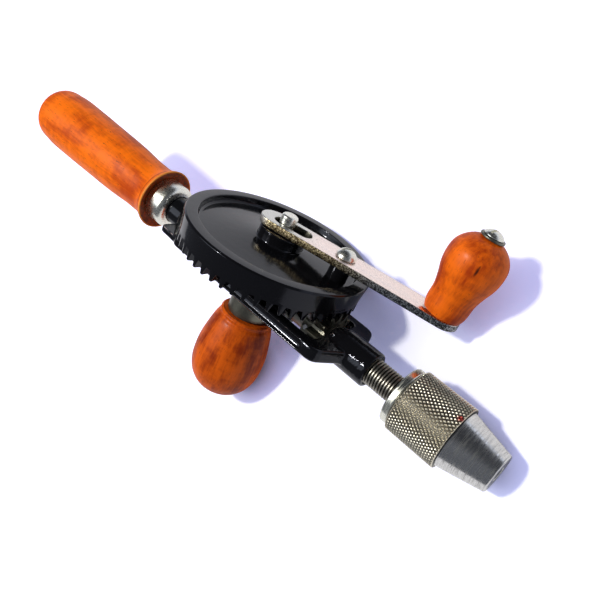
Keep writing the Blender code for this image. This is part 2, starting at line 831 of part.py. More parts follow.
def make_crank():
    """The flat bar with its slot, the clamp screw and the riveted knob spindle."""
    half = crank_width / 2
    rim = rounded([
        (-crank_inner_reach, -half, half), (crank_outer_reach, -half, half),
        (crank_outer_reach, half, half), (-crank_inner_reach, half, half),
    ])
    slot = round_slot(slot_start + slot_width / 2, slot_end - slot_width / 2, slot_width)
    clamp_hole = circle(clamp_reach, clamp_shank_radius + press_gap)
    bar = plate_mesh("crank_arm", [rim, slot, clamp_hole], crank_bottom, crank_top, crank_edge)
    arm = solid("crank_arm", bar, crank_axes, None, dull_steel)
    pin_hole = bar_mesh(
        "pin_hole", knob_spindle_radius + press_gap, -crank_thickness - cut_overrun, cut_overrun)
    cut(arm, "pin_hole", pin_hole, knob_place)

    head_foot = crank_top + seat_gap
    head_top = head_foot + clamp_head_height
    shank_foot = hub_height - clamp_shank_depth
    screw = turned_mesh("crank_clamp_screw", rounded([
        (0, head_top), (clamp_head_crown_radius, head_top, clamp_head_height),
        (clamp_head_radius, head_foot + clamp_head_rim_height), (clamp_head_radius, head_foot),
        (clamp_shank_radius, head_foot), (clamp_shank_radius, shank_foot), (0, shank_foot),
    ], closed=False), small_turn_steps, ring=False)
    place = Matrix.Translation((clamp_reach, 0, 0))
    solid("crank_clamp_screw", screw, crank_axes, place, polished_steel)


def make_knob():
    """The turned knob, its leaning pin, and the washer and screw that keep it there."""
    foot = seat_gap + knob_radius * knob_shares[-1][1] * math.sin(knob_lean)
    top = foot + knob_length
    bore = knob_spindle_radius + running_gap
    sides = through(scaled(knob_shares, knob_length, knob_radius, foot))
    outline = [Vector((bore, top))] + sides + [Vector((bore, foot))]
    solid("crank_knob", turned_mesh("crank_knob", outline), knob_axes, None, stained_wood)

    under_bar = -crank_thickness / math.cos(knob_lean) - rivet_head_radius * math.tan(knob_lean) - seat_gap
    screw_hole = knob_screw_radius + press_gap
    hole_end = top - knob_screw_depth - seat_gap
    pin = turned_mesh("knob_spindle", rounded([
        (screw_hole, top), (knob_spindle_radius, top), (knob_spindle_radius, under_bar),
        (rivet_head_radius, under_bar), (rivet_head_radius, under_bar - rivet_head_height, rivet_head_edge),
        (0, under_bar - rivet_head_height), (0, hole_end), (screw_hole, hole_end),
    ]), small_turn_steps)
    solid("knob_spindle", pin, crank_axes, knob_place, polished_steel)

    washer_foot = top + seat_gap
    washer_top = washer_foot + knob_washer_thickness
    washer = turned_mesh("knob_washer", [
        (screw_hole, washer_top), (knob_washer_radius, washer_top), (knob_washer_radius, washer_foot),
        (screw_hole, washer_foot),
    ], small_turn_steps)
    solid("knob_washer", washer, crank_axes, knob_place, polished_steel)
    head_foot = washer_top + seat_gap
    head_top = head_foot + knob_screw_head_height
    screw = turned_mesh("knob_screw", rounded([
        (0, head_top), (knob_screw_head_radius, head_top, knob_screw_head_edge),
        (knob_screw_head_radius, head_foot), (knob_screw_radius, head_foot),
        (knob_screw_radius, top - knob_screw_depth), (0, top - knob_screw_depth),
    ], closed=False), small_turn_steps, ring=False)
    solid("knob_screw", screw, crank_axes, knob_place, polished_steel)


def make_spindle():
    """The shaft, from the thrust ball through the pinion and the boss to its threaded nose."""
    start = rear_bearing_start + rear_bearing_wall + 2 * seat_gap + 2 * ball_radius
    mesh = turned_mesh("spindle", [
        (0, spindle_end), (thread_radius - spindle_chamfer, spindle_end),
        (thread_radius, spindle_end - spindle_chamfer), (thread_radius, thread_start + spindle_chamfer),
        (journal_radius, thread_start), (journal_radius, start), (0, start),
    ], ring=False)
    spindle = solid("spindle", mesh, spindle_axes, along_x(), polished_steel)
    pin_x = pinion_start - pinion_hub_length / 2
    hole = bar_mesh("pin_hole", pinion_pin_radius + press_gap, -pinion_pin_length, pinion_pin_length)
    across = Matrix.Translation((pin_x, 0, 0)) @ Matrix.Rotation(right_angle, 4, "X")
    cut(spindle, "spindle_pin_hole", hole, across)

    pinion = solid("drive_pinion", pinion_mesh(), spindle_axes, along_x(pinion_start), polished_steel)
    hub = bar_mesh("pinion_hub", pinion_hub_radius, -pinion_hub_length, (pinion_end - pinion_start) / 2)
    join(pinion, "pinion_hub", hub, along_x(pinion_start))
    bore = bar_mesh(
        "pinion_bore", journal_radius + press_gap, -pinion_hub_length - cut_overrun,
        pinion_end - pinion_start + cut_overrun, steps=turn_steps)
    cut(pinion, "pinion_bore", bore, along_x(pinion_start))
    cut(pinion, "pinion_pin_hole", hole.copy(), across)
    pin = bar_mesh("pinion_pin", pinion_pin_radius, -pinion_pin_length / 2, pinion_pin_length / 2)
    solid("pinion_pin", pin, spindle_axes, across, dull_steel)


def pinion_mesh():
    """The pinion's teeth, with one tooth straight up in the gap of the wheel above it."""
    flank = (
        (pinion_root_radius, pinion_root_thickness), (pinion_flank_radius, pinion_flank_thickness),
        (pinion_pitch_radius, pinion_pitch_thickness), (pinion_shoulder_radius, pinion_shoulder_thickness),
        (pinion_tip_radius, pinion_tip_thickness),
    )
    outline = []
    for tooth in range(pinion_teeth):
        middle = math.tau * tooth / pinion_teeth + math.pi
        for side, order in ((-1, flank), (1, flank[::-1])):
            for radius, thickness in order:
                angle = middle + side * math.asin(thickness / 2 / radius)
                outline.append((radius * math.cos(angle), radius * math.sin(angle)))
    return plate_mesh("drive_pinion", [outline], 0, pinion_end - pinion_start)


def jaw_slide(turn, travel=0.0):
    """The axes of a jaw: Z along its slide towards the nose, X inwards to the spindle's axis."""
    tip = Vector((nose_end + jaw_reach_closed, 0, jaw_offset_closed))
    tilt = Matrix.Rotation(right_angle + jaw_angle, 4, "Y")
    back = Matrix.Translation((0, 0, -travel))
    return Matrix.Rotation(turn, 4, "X") @ Matrix.Translation(tip) @ tilt @ back


def jaw_outer_radius(x):
    """How far the jaws' outer sides are from the spindle's axis, at a place along it."""
    axis_radius = jaw_offset_closed + (nose_end + jaw_reach_closed - x) * math.tan(jaw_angle)
    return axis_radius + jaw_radius / math.cos(jaw_angle)


def make_jaws(slides):
    """Round jaws whose tips are cut to a third of a turn, so that the three close on the axis."""
    along = Vector((-math.sin(jaw_angle), 0, math.cos(jaw_angle)))
    outward = Vector((-math.cos(jaw_angle), 0, -math.sin(jaw_angle)))
    across = along.cross(outward)
    work = bmesh.new()
    bmesh.ops.create_cone(
        work, cap_ends=True, segments=small_turn_steps, radius1=jaw_radius, radius2=jaw_radius,
        depth=jaw_length + jaw_radius, matrix=Matrix.Translation((0, 0, (jaw_radius - jaw_length) / 2)))
    meeting = outward * (jaw_face_gap - jaw_offset_closed)
    trims = [(Vector((0, 0, 0)), along)]
    for side in (-1, 1):
        facing = outward * math.sin(jaw_sector) + across * side * math.cos(jaw_sector)
        trims.append((meeting, -facing))
    for place, normal in trims:
        geometry = list(work.verts) + list(work.edges) + list(work.faces)
        bmesh.ops.bisect_plane(work, geom=geometry, plane_co=place, plane_no=normal, clear_outer=True)
        rim = [edge for edge in work.edges if edge.is_boundary]
        bmesh.ops.holes_fill(work, edges=rim)
    mesh = bpy.data.meshes.new("jaw")
    work.to_mesh(mesh)
    work.free()
    for number, slide in enumerate(slides, 1):
        solid(f"jaw_{number}", mesh.copy(), slide, None, dull_steel)


def make_chuck():
    """The body with its nose and jaw bores, the collar, the sleeve, the split nut and the jaws."""
    body_start = collar_start + seat_gap
    collar_end = collar_start + collar_length
    sleeve_start = collar_end + seat_gap
    land_radius = sleeve_bore - seat_gap
    nose_start = sleeve_end + seat_gap
    groove_end = nose_start - seat_gap
    groove_start_x = groove_end - nut_groove_length
    socket = thread_radius + press_gap
    outline = rounded([
        (mouth_radius, nose_end), (nose_end_radius, nose_end, nose_edge), (nose_start_radius, nose_start),
        (jaw_outer_radius(groove_end) - nut_bite, nose_start),
        (jaw_outer_radius(groove_start_x) - nut_bite, groove_start_x),
        (waist_radius, groove_start_x), (waist_radius, land_end), (land_radius, land_end),
        (land_radius, sleeve_start), (collar_bore - press_gap, sleeve_start),
        (collar_bore - press_gap, body_start), (socket, body_start), (socket, socket_end), (0, socket_end),
    ], closed=False)
    mouth_foot = nose_end - mouth_depth
    back = [(0, throat_end), (throat_radius, throat_end)]
    back += [(throat_radius, mouth_foot), (mouth_radius, mouth_foot)]
    mesh = turned_mesh("chuck_body", outline + back)
    body = solid("chuck_body", mesh, spindle_axes, along_x(), dull_steel)
    slides = []
    for number in range(jaw_count):
        turn = math.tau * number / jaw_count
        bore_length = jaw_length + jaw_opening_travel + seat_gap
        bore = bar_mesh(f"jaw_bore_{number + 1}", jaw_radius + running_gap, -bore_length, jaw_radius)
        cut(body, f"jaw_bore_{number + 1}", bore, jaw_slide(turn))
        slides.append(axes(f"jaw_slide_{number + 1}", jaw_slide(turn, jaw_opening_travel), spindle_axes))
    make_jaws(slides)

    collar = rounded([
        (collar_bore, collar_end), (collar_radius, collar_end, collar_edge),
        (collar_radius, collar_start, collar_edge), (collar_bore, collar_start),
    ])
    solid("chuck_collar", turned_mesh("chuck_collar", collar), spindle_axes, along_x(), dull_steel)
    sleeve = [
        (sleeve_bore, sleeve_end), (sleeve_radius - sleeve_chamfer, sleeve_end),
        (sleeve_radius, sleeve_end - sleeve_chamfer), (sleeve_radius, sleeve_start + sleeve_chamfer),
        (sleeve_radius - sleeve_chamfer, sleeve_start), (sleeve_bore, sleeve_start),
    ]
    solid("chuck_sleeve", turned_mesh("chuck_sleeve", sleeve), sleeve_axes, along_x(), dull_steel)

    nut_end = groove_end - seat_gap
    nut_start = nut_end - nut_length
    nut = [
        (jaw_outer_radius(nut_end) + seat_gap, nut_end), (land_radius, nut_end), (land_radius, nut_start),
        (jaw_outer_radius(nut_start) + seat_gap, nut_start),
    ]
    far = sleeve_radius + cut_overrun
    for name, side in (("jaw_nut_front", 1), ("jaw_nut_back", -1)):
        half = solid(name, turned_mesh(name, nut), sleeve_axes, along_x(), dull_steel)
        edge = side * nut_split / 2
        low = (nut_start - cut_overrun, -far, min(edge, -side * far))
        high = (nut_end + cut_overrun, far, max(edge, -side * far))
        cut(half, f"{name}_split", block_mesh(name, low, high))


def lay_on_floor():
    """Sets the drill's axes so that its box stands on the floor, with the box's middle over the origin."""
    bpy.context.view_layer.update()
    graph = bpy.context.evaluated_depsgraph_get()
    low = np.full(3, np.inf)
    high = np.full(3, -np.inf)
    for piece in groups["hand_drill"].objects:
        if piece.type != "MESH":
            continue
        evaluated = piece.evaluated_get(graph)
        mesh = evaluated.to_mesh()
        places = np.empty(len(mesh.vertices) * 3)
        mesh.vertices.foreach_get("co", places)
        evaluated.to_mesh_clear()
        world = np.array(piece.matrix_world)
        places = places.reshape(-1, 3) @ world[:3, :3].T + world[:3, 3]
        low = np.minimum(low, places.min(axis=0))
        high = np.maximum(high, places.max(axis=0))
    middle = (low + high) / 2
    drill_axes.location -= Vector((middle[0], middle[1], low[2]))


make_main_handle()
make_handle_ferrule()
make_frame()
make_front_bush()
make_axle()
make_thrust_ball()
make_side_handle()
make_gear_wheel()
make_crank()
make_knob()
make_spindle()
make_chuck()
lay_on_floor()
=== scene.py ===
# %% [markdown]
# # A hand drill, dressed for a photograph
#
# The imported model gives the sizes, the joints and plain solids. This notebook puts a finer, worn and
# coloured piece in place of most of them and repaints the others, on a sheet of white paper. Lengths are
# in metres, and the sizes and places of a pattern in the drill's materials are in millimetres.

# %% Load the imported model
import json
import math

import bmesh
import bpy
import numpy as np
from mathutils import Matrix, Vector


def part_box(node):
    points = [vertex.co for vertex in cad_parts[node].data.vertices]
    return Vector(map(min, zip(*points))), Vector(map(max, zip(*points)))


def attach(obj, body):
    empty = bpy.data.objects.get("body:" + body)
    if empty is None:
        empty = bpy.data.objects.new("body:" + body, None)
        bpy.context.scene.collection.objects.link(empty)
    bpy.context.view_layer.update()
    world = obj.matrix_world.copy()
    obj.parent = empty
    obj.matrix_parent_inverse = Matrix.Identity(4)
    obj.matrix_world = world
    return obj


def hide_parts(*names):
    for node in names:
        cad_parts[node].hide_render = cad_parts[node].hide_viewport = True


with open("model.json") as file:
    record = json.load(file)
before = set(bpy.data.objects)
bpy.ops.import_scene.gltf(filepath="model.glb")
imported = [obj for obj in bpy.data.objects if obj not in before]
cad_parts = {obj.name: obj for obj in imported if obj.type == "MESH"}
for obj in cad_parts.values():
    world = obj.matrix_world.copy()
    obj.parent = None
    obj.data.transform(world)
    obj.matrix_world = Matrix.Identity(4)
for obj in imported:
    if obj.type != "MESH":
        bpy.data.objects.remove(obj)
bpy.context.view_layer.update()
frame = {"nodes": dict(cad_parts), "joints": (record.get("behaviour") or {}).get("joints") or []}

# %% [markdown]
# ## The drill's own axes
#
# The drill lies tilted on the paper, so it is drawn in axes of its own: X runs along the spindle to the
# chuck and Z along the wheel's axle to the crank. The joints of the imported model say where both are, so
# nothing is measured twice. A mesh is drawn in these axes and its points are then moved to the world.

# %% Find the axes from the joints
joints = {joint["name"]: joint for joint in frame["joints"]}


def axes_matrix(origin, towards, z_axis):
    """Axes whose Z is given, and whose X is towards a direction as far as Z lets it."""
    z_axis = Vector(z_axis).normalized()
    y_axis = z_axis.cross(Vector(towards)).normalized()
    turn = Matrix((y_axis.cross(z_axis), y_axis, z_axis)).transposed()
    return Matrix.Translation(origin) @ turn.to_4x4()


axle_direction = Vector(joints["crank_turn"]["axis"])
drill_origin = Vector(joints["crank_turn"]["pos_m"])
drill = axes_matrix(drill_origin, joints["spindle_turn"]["axis"], axle_direction)
knob_origin = Vector(joints["knob_spin"]["pos_m"])
towards_knob = knob_origin - drill_origin
crank = axes_matrix(drill_origin, towards_knob, axle_direction)
knob = axes_matrix(knob_origin, towards_knob, joints["knob_spin"]["axis"])
knob_lean = axle_direction.angle(Vector(joints["knob_spin"]["axis"]))
right_angle = math.radians(90)
spindle = drill @ Matrix.Rotation(right_angle, 4, "Y")
crank_angle = (drill.inverted() @ crank).to_euler().z
print("the crank stands", round(math.degrees(crank_angle), 1), "degrees from the spindle")
print("the knob leans outwards by", round(math.degrees(knob_lean), 1), "degrees")

# %% [markdown]
# ## The camera
#
# The circles of the wheel show as ellipses in the photograph, and those fix where its camera stood. It
# stood close, so the chuck looks large. The place and turn are given in the drill's axes.

# %% Place the camera
camera_place = (0.14747, -0.22742, 0.12859)
camera_turn = (62.008, -23.090, 40.690)
camera_lens = 40.02
sensor_width = 36.0

camera_data = bpy.data.cameras.new("camera")
camera_data.sensor_width = sensor_width
camera_data.lens = camera_lens
camera = bpy.data.objects.new("camera", camera_data)
bpy.context.scene.collection.objects.link(camera)
turn_angles = [math.radians(angle) for angle in camera_turn]
camera_in_drill = Matrix.LocRotScale(Vector(camera_place), None, None)
camera_in_drill = camera_in_drill @ Matrix.Rotation(turn_angles[2], 4, "Z")
camera_in_drill = camera_in_drill @ Matrix.Rotation(turn_angles[1], 4, "Y")
camera_in_drill = camera_in_drill @ Matrix.Rotation(turn_angles[0], 4, "X")
camera.matrix_world = drill @ camera_in_drill
bpy.context.scene.camera = camera
print("the camera stands", round(camera.matrix_world.translation.z, 3), "m above the paper")

# %% [markdown]
# ## Helpers for materials
#
# A material is a network of nodes. Adding them one by one takes many lines, so the first helper makes a
# node, sets its options, and fills each input with a value or with a link from another node. The others
# use it for what comes back in every material: sums, mixed colours, noise, places in millimetres, bumps.

# %% Make nodes in few words


def add_node(tree, kind, inputs=None, **options):
    """A node of a tree, with its options set and its inputs filled."""
    made = tree.nodes.new(kind)
    for name, value in options.items():
        setattr(made, name, value)
    for name, value in (inputs or {}).items():
        if isinstance(value, bpy.types.NodeSocket):
            tree.links.new(value, made.inputs[name])
        else:
            made.inputs[name].default_value = value
    return made


def calculate(tree, operation, *values, clamp=False):
    """The result of a sum on one to three values."""
    inputs = dict(enumerate(values))
    kind = "ShaderNodeMath"
    return add_node(tree, kind, inputs, operation=operation, use_clamp=clamp).outputs[0]


def between(tree, value, low, high, to_low=0.0, to_high=1.0):
    """How far a value is from low to high, eased at both ends."""
    inputs = {"Value": value, "From Min": low, "From Max": high, "To Min": to_low, "To Max": to_high}
    made = add_node(tree, "ShaderNodeMapRange", inputs, interpolation_type="SMOOTHSTEP")
    return made.outputs["Result"]


print("nodes can be added and reckoned with")

# %% Mix colours and make noise


def mix_colours(tree, share, first, second):
    """The first colour where share is 0, and the second where it is 1."""
    made = add_node(tree, "ShaderNodeMix", data_type="RGBA")
    # The colour sockets have the same names as the node's other sockets, so they go by number.
    for socket, value in ((0, share), (6, first), (7, second)):
        if isinstance(value, bpy.types.NodeSocket):
            tree.links.new(value, made.inputs[socket])
        else:
            made.inputs[socket].default_value = value if socket == 0 else (*value, 1)
    return made.outputs[2]


def noise(tree, place, scale, detail=3.0, roughness=0.5, seed=0.0):
    """Cloudy noise with lumps 1/scale across."""
    inputs = {"Vector": place, "W": seed, "Scale": scale, "Detail": detail, "Roughness": roughness}
    made = add_node(tree, "ShaderNodeTexNoise", inputs, noise_dimensions="4D")
    return made.outputs["Fac"]


print("colours can be mixed and clouded")

# %% Place a pattern and fill a shader
millimetre = 0.001


def place_on(tree, axes, stretch=(1, 1, 1)):
    """Each point's place in millimetres in the given axes, drawn out by stretch along each of them."""
    coordinates = add_node(tree, "ShaderNodeTexCoord").outputs["Object"]
    own = add_node(tree, "ShaderNodeMapping", {
        "Vector": coordinates, "Location": axes.translation, "Rotation": axes.to_euler(),
        "Scale": [millimetre] * 3,
    }, vector_type="TEXTURE")
    drawn = add_node(tree, "ShaderNodeMapping", {"Vector": own.outputs[0], "Scale": stretch})
    return drawn.outputs[0]


def away_from(tree, place, spot):
    """How far a place is from a spot."""
    inputs = {0: place, 1: spot}
    return add_node(tree, "ShaderNodeVectorMath", inputs, operation="DISTANCE").outputs["Value"]


def new_material(name):
    """A material, its tree and its shader."""
    material = bpy.data.materials.new(name)
    material.use_nodes = True
    tree = material.node_tree
    return material, tree, tree.nodes["Principled BSDF"]


def fill(tree, shader, **sockets):
    """Fills a shader's inputs, whose names are given with _ for a space."""
    for name, value in sockets.items():
        socket = shader.inputs[name.replace("_", " ")]
        if isinstance(value, bpy.types.NodeSocket):
            tree.links.new(value, socket)
        else:
            socket.default_value = (*value, 1) if socket.type == "RGBA" else value


def bump(tree, height, depth, under=None):
    """A normal from a height from 0 to 1 that stands for depth millimetres."""
    inputs = {"Height": height, "Distance": depth * millimetre, "Strength": 1.0}
    if under is not None:
        inputs["Normal"] = under
    return add_node(tree, "ShaderNodeBump", inputs).outputs[0]


print("helpers for materials are ready")

# %% [markdown]
# ## Paper and light
#
# The drill was photographed on white paper, under a small light high up on the side of its handle, which
# throws short crisp shadows, and a dim wide window. The room is dark overhead and bright along the floor,
# because bright metal only looks like metal where it mirrors dark places too. The paper gets a little
# bluish glow for the camera and for reflections alone: it makes the paper plain white and its shadows
# lavender, with no more light on the drill. The glow fades where the drill all but touches the paper, which
# paints a darker contact shade there.

# %% Lay the paper
paper_reach = 1.6
paper_colour = (0.78, 0.78, 0.75)
paper_roughness = 0.9
paper_glow = (0.43, 0.45, 0.80)
mirrored_glow_share = 0.25
# How far and how strongly the glow dims near the drill, as a painted contact shade.
contact_shade_reach = 0.035
contact_shade_edges = (0.10, 0.92)

paper_mesh = bpy.data.meshes.new("paper")
paper_corners = ((-1, -1), (1, -1), (1, 1), (-1, 1))
paper_points = [(side * paper_reach, end * paper_reach, 0) for side, end in paper_corners]
paper_mesh.from_pydata(paper_points, [], [range(4)])
paper = bpy.data.objects.new("paper", paper_mesh)
bpy.context.scene.collection.objects.link(paper)

paper_material, tree, shader = new_material("white_paper")
light_path = add_node(tree, "ShaderNodeLightPath").outputs
mirrored = calculate(tree, "MAXIMUM", light_path["Is Glossy Ray"], light_path["Is Transmission Ray"])
seen = calculate(tree, "MULTIPLY_ADD", mirrored, mirrored_glow_share, light_path["Is Camera Ray"])
# Ambient occlusion dims the glow near the drill: a painted contact shade on the paper.
glow_left_by_contact_shade = add_node(tree, "ShaderNodeAmbientOcclusion", {"Distance": contact_shade_reach}).outputs["AO"]
glow_left_by_contact_shade = between(tree, glow_left_by_contact_shade, *contact_shade_edges)
fill(tree, shader, Base_Color=paper_colour, Roughness=paper_roughness, Specular_IOR_Level=0.0)
fill(tree, shader, Emission_Color=paper_glow, Emission_Strength=calculate(tree, "MULTIPLY", seen, glow_left_by_contact_shade))
paper_mesh.materials.append(paper_material)
print("the paper reaches", paper_reach, "m each way")

# %% Light it
lamp_distance = 3.0
high_lamp_size = 0.28
window_size = 2.2


def add_lamp(name, azimuth, elevation, size, colour, power):
    """A round lamp that faces the drill from a direction in degrees."""
    direction = Vector((1, 0, 0))
    direction.rotate(Matrix.Rotation(math.radians(-elevation), 3, "Y"))
    direction.rotate(Matrix.Rotation(math.radians(azimuth), 3, "Z"))
    data = bpy.data.lights.new(name, "AREA")
    data.shape = "DISK"
    data.size = size
    data.color = colour
    data.energy = power
    lamp = bpy.data.objects.new(name, data)
    bpy.context.scene.collection.objects.link(lamp)
    facing = direction.to_track_quat("Z", "Y").to_matrix().to_4x4()
    lamp.matrix_world = Matrix.Translation(direction * lamp_distance) @ facing
    print(name, "stands at", [round(value, 2) for value in lamp.matrix_world.translation])


add_lamp("high_lamp", azimuth=-150, elevation=77, size=high_lamp_size, colour=(1.0, 0.97, 0.92), power=68)
add_lamp("wide_window", azimuth=-140, elevation=62, size=window_size, colour=(0.88, 0.93, 1.0), power=28)

# %% Dim the room
room_colour = (0.78, 0.84, 1.0)
room_light = 0.17
room_dark = 0.05
dark_side = Vector((-0.09, 0.52, 0.85))
dark_side_edges = (0.50, 0.90)
wall_light = 0.85
wall_top = 0.24
wall_fades = 0.13
wall_side_edges = (-0.30, 0.25)

world = bpy.data.worlds.new("room")
world.use_nodes = True
bpy.context.scene.world = world
tree = world.node_tree
direction = add_node(tree, "ShaderNodeTexCoord").outputs["Generated"]
towards_dark = add_node(tree, "ShaderNodeVectorMath", {0: direction, 1: dark_side}, operation="DOT_PRODUCT")
ceiling = between(tree, towards_dark.outputs["Value"], *dark_side_edges, room_light, room_dark)
parts = add_node(tree, "ShaderNodeSeparateXYZ", {0: direction}).outputs
walls = between(tree, parts["Z"], wall_top, wall_fades, 0.0, wall_light)
walls = calculate(tree, "MULTIPLY", walls, between(tree, parts["Y"], *wall_side_edges))
room = tree.nodes["Background"]
room.inputs["Color"].default_value = (*room_colour, 1)
tree.links.new(calculate(tree, "ADD", ceiling, walls), room.inputs["Strength"])
backdrop = add_node(tree, "ShaderNodeBackground", {"Color": (1, 1, 1, 1), "Strength": 1.0}).outputs[0]
to_camera = add_node(tree, "ShaderNodeLightPath").outputs["Is Camera Ray"]
both = add_node(tree, "ShaderNodeMixShader", {0: to_camera, 1: room.outputs[0], 2: backdrop}).outputs[0]
tree.links.new(both, tree.nodes["World Output"].inputs["Surface"])
bpy.context.scene.view_settings.view_transform = "Standard"
print("the room gives", room_dark, "to", room_light, "overhead and", wall_light, "more at the walls")

# %% [markdown]
# ## Black enamel
#
# The frame and the wheel are cast iron under thick glossy black paint. The paint is uneven, as paint on
# sand-cast iron is. On the frame's highest edges it is worn through to pinkish-grey metal, and an
# attribute named wear, which the frame's mesh carries, says where. On the front boss the paint ran, and
# its runs break up the lamp's reflection. The wheel's paint is whole.

# %% Paint the iron
enamel_colour = (0.0045, 0.0045, 0.0055)
enamel_tint = (0.85, 0.88, 1.0)
enamel_gloss = 0.27
enamel_roughness = 0.12
bare_iron_colour = (0.36, 0.27, 0.25)
bare_iron_roughness = 0.45
bare_iron_shine = 0.6
paint_lump_size = 5.0
paint_lump_depth = 0.05
paint_grain_size = 0.7
paint_grain_depth = 0.005
run_size = 1.7
run_depth = 0.15
run_roughness = 0.05
runs_start = 44
runs_full = 50
wear_patch_size = 1.7
wear_starts = 0.35
wear_bares = 0.60


def black_enamel(name, axes, worn=False):
    """Thick black paint. The worn one has runs, and is bare where the wear attribute says so."""
    material, tree, shader = new_material(name)
    place = place_on(tree, axes)
    lumps = noise(tree, place, 1 / paint_lump_size, detail=2.0)
    grain = noise(tree, place, 1 / paint_grain_size, seed=2.0)
    relief = bump(tree, grain, paint_grain_depth, bump(tree, lumps, paint_lump_depth))
    fill(tree, shader, Base_Color=enamel_colour, Roughness=enamel_roughness, Normal=relief)
    fill(tree, shader, Specular_Tint=enamel_tint, Specular_IOR_Level=enamel_gloss)
    if worn:
        along = add_node(tree, "ShaderNodeSeparateXYZ", {0: place}).outputs["X"]
        runs = noise(tree, place, 1 / run_size, roughness=0.6, seed=9.0)
        in_runs = between(tree, along, runs_start, runs_full)
        runs = calculate(tree, "MULTIPLY", runs, in_runs)
        roughness = between(tree, in_runs, 0.0, 1.0, enamel_roughness, run_roughness)
        fill(tree, shader, Normal=bump(tree, runs, run_depth, relief))
        wear = add_node(tree, "ShaderNodeAttribute", attribute_name="wear").outputs["Fac"]
        patches = noise(tree, place, 1 / wear_patch_size, detail=4.0, roughness=0.7, seed=5.0)
        patchy = calculate(tree, "MULTIPLY", wear, calculate(tree, "ADD", patches, patches))
        bare = between(tree, patchy, wear_starts, wear_bares)
        fill(tree, shader, Base_Color=mix_colours(tree, bare, enamel_colour, bare_iron_colour))
        fill(tree, shader, Metallic=calculate(tree, "MULTIPLY", bare, bare_iron_shine))
        fill(tree, shader, Roughness=between(tree, bare, 0.0, 1.0, roughness, bare_iron_roughness))
    return material


frame_enamel = black_enamel("black_enamel", drill, worn=True)
wheel_enamel = black_enamel("black_enamel_wheel", crank)
print("two coats of black enamel")

# %% [markdown]
# ## Stained wood
#
# All three handles are turned from one light hardwood, stained orange and varnished. The stain took
# unevenly: it left redder clouds, curls across the grain and short dark flecks along it. The grain runs
# along each handle, so the material is made once for each, with noise drawn out along its axis. The knob
# and the side handle are the redder two, and the knob has a short dark nick along its grain. The main
# handle's dished face is end grain, which drinks more stain, and its sharp lip carries a pale painted
# highlight: the attribute named stain is 1 on the one and -1 on the other.

# %% Stain the wood
fleck_colour = (0.15, 0.026, 0.006)
end_grain_colour = (0.13, 0.030, 0.008)
end_grain_edges = (0.35, 0.75)
# The pale colour painted on the main handle's lip as a highlight.
lip_highlight_colour = (0.88, 0.30, 0.05)
cloud_size = 9.0
cloud_share = 2.0
cloud_stretch = 0.40
figure_size = 1.3
pore_size = 0.30
grain_stretch = 0.10
tone_edges = (1.45, 2.30)
pores_start = 0.64
pores_full = 0.74
wood_roughness = 0.5
wood_gloss = 0.06
varnish_weight = 0.16
varnish_roughness = 0.30
curl_size = 5.0
curl_share = 0.9
curl_stretch = 0.35
nick_reach = 0.9
nick_fade_share = 1.8
nick_squeeze = Vector((1.3, 1.3, 0.4))
nick_colour = (0.03, 0.008, 0.004)
wave_size = 4.5
wave_depth = 0.10
grain_depth = 0.008


def stained_wood(name, axes, light, deep, nick=None):
    """Wood whose grain runs along Z of the axes, from a light to a deep colour, with a nick at a place."""
    material, tree, shader = new_material(name)
    along_grain = place_on(tree, axes, (1, 1, grain_stretch))
    cloudy = place_on(tree, axes, (1, 1, cloud_stretch))
    curly = place_on(tree, axes, (curl_stretch, curl_stretch, 1))
    clouds = noise(tree, cloudy, 1 / cloud_size, roughness=0.55, seed=1.0)
    figure = noise(tree, along_grain, 1 / figure_size, detail=4.0, roughness=0.6, seed=3.0)
    pores = noise(tree, along_grain, 1 / pore_size, detail=2.0, seed=7.0)
    curl = noise(tree, curly, 1 / curl_size, roughness=0.6, seed=5.0)
    waves = noise(tree, place_on(tree, axes), 1 / wave_size, detail=2.0, seed=4.0)
    tone = calculate(tree, "MULTIPLY_ADD", clouds, cloud_share, figure)
    tone = calculate(tree, "MULTIPLY_ADD", curl, curl_share, tone)
    colour = mix_colours(tree, between(tree, tone, *tone_edges), deep, light)
    stain = add_node(tree, "ShaderNodeAttribute", attribute_name="stain").outputs["Fac"]
    end_grain = mix_colours(tree, between(tree, figure, *end_grain_edges), end_grain_colour, deep)
    colour = mix_colours(tree, calculate(tree, "MAXIMUM", stain, 0.0), colour, end_grain)
    # Where stain is -1, the lip is painted pale as a highlight.
    painted_highlight = calculate(tree, "MULTIPLY", stain, -1.0, clamp=True)
    colour = mix_colours(tree, painted_highlight, colour, lip_highlight_colour)
    flecks = between(tree, pores, pores_start, pores_full)
    colour = mix_colours(tree, flecks, colour, fleck_colour)
    if nick:
        away = away_from(tree, place_on(tree, axes, nick_squeeze), nick * nick_squeeze)
        ragged = calculate(tree, "MULTIPLY_ADD", pores, nick_reach, away)
        nicked = between(tree, ragged, nick_fade_share * nick_reach, nick_reach)
        colour = mix_colours(tree, nicked, colour, nick_colour)
    grain = calculate(tree, "SUBTRACT", figure, flecks)
    relief = bump(tree, grain, grain_depth, bump(tree, waves, wave_depth))
    fill(tree, shader, Base_Color=colour, Normal=relief, Roughness=wood_roughness)
    fill(tree, shader, Specular_IOR_Level=wood_gloss, Coat_Weight=varnish_weight)
    fill(tree, shader, Coat_Roughness=varnish_roughness, Coat_Normal=relief)
    return material


handle_stain = ((1.0, 0.185, 0.004), (0.52, 0.060, 0.003))
side_stain = ((0.66, 0.105, 0.004), (0.22, 0.020, 0.002))
knob_stain = ((0.86, 0.150, 0.005), (0.36, 0.034, 0.003))
nick_place = Vector((2.0, -12.2, 26.4))
side_axes = drill @ Matrix.Rotation(2 * right_angle, 4, "X")
handle_wood = stained_wood("stained_wood", spindle, *handle_stain)
side_wood = stained_wood("stained_wood_side", side_axes, *side_stain)
knob_wood = stained_wood("stained_wood_knob", knob, *knob_stain, nick_place)
print("wood for three handles")
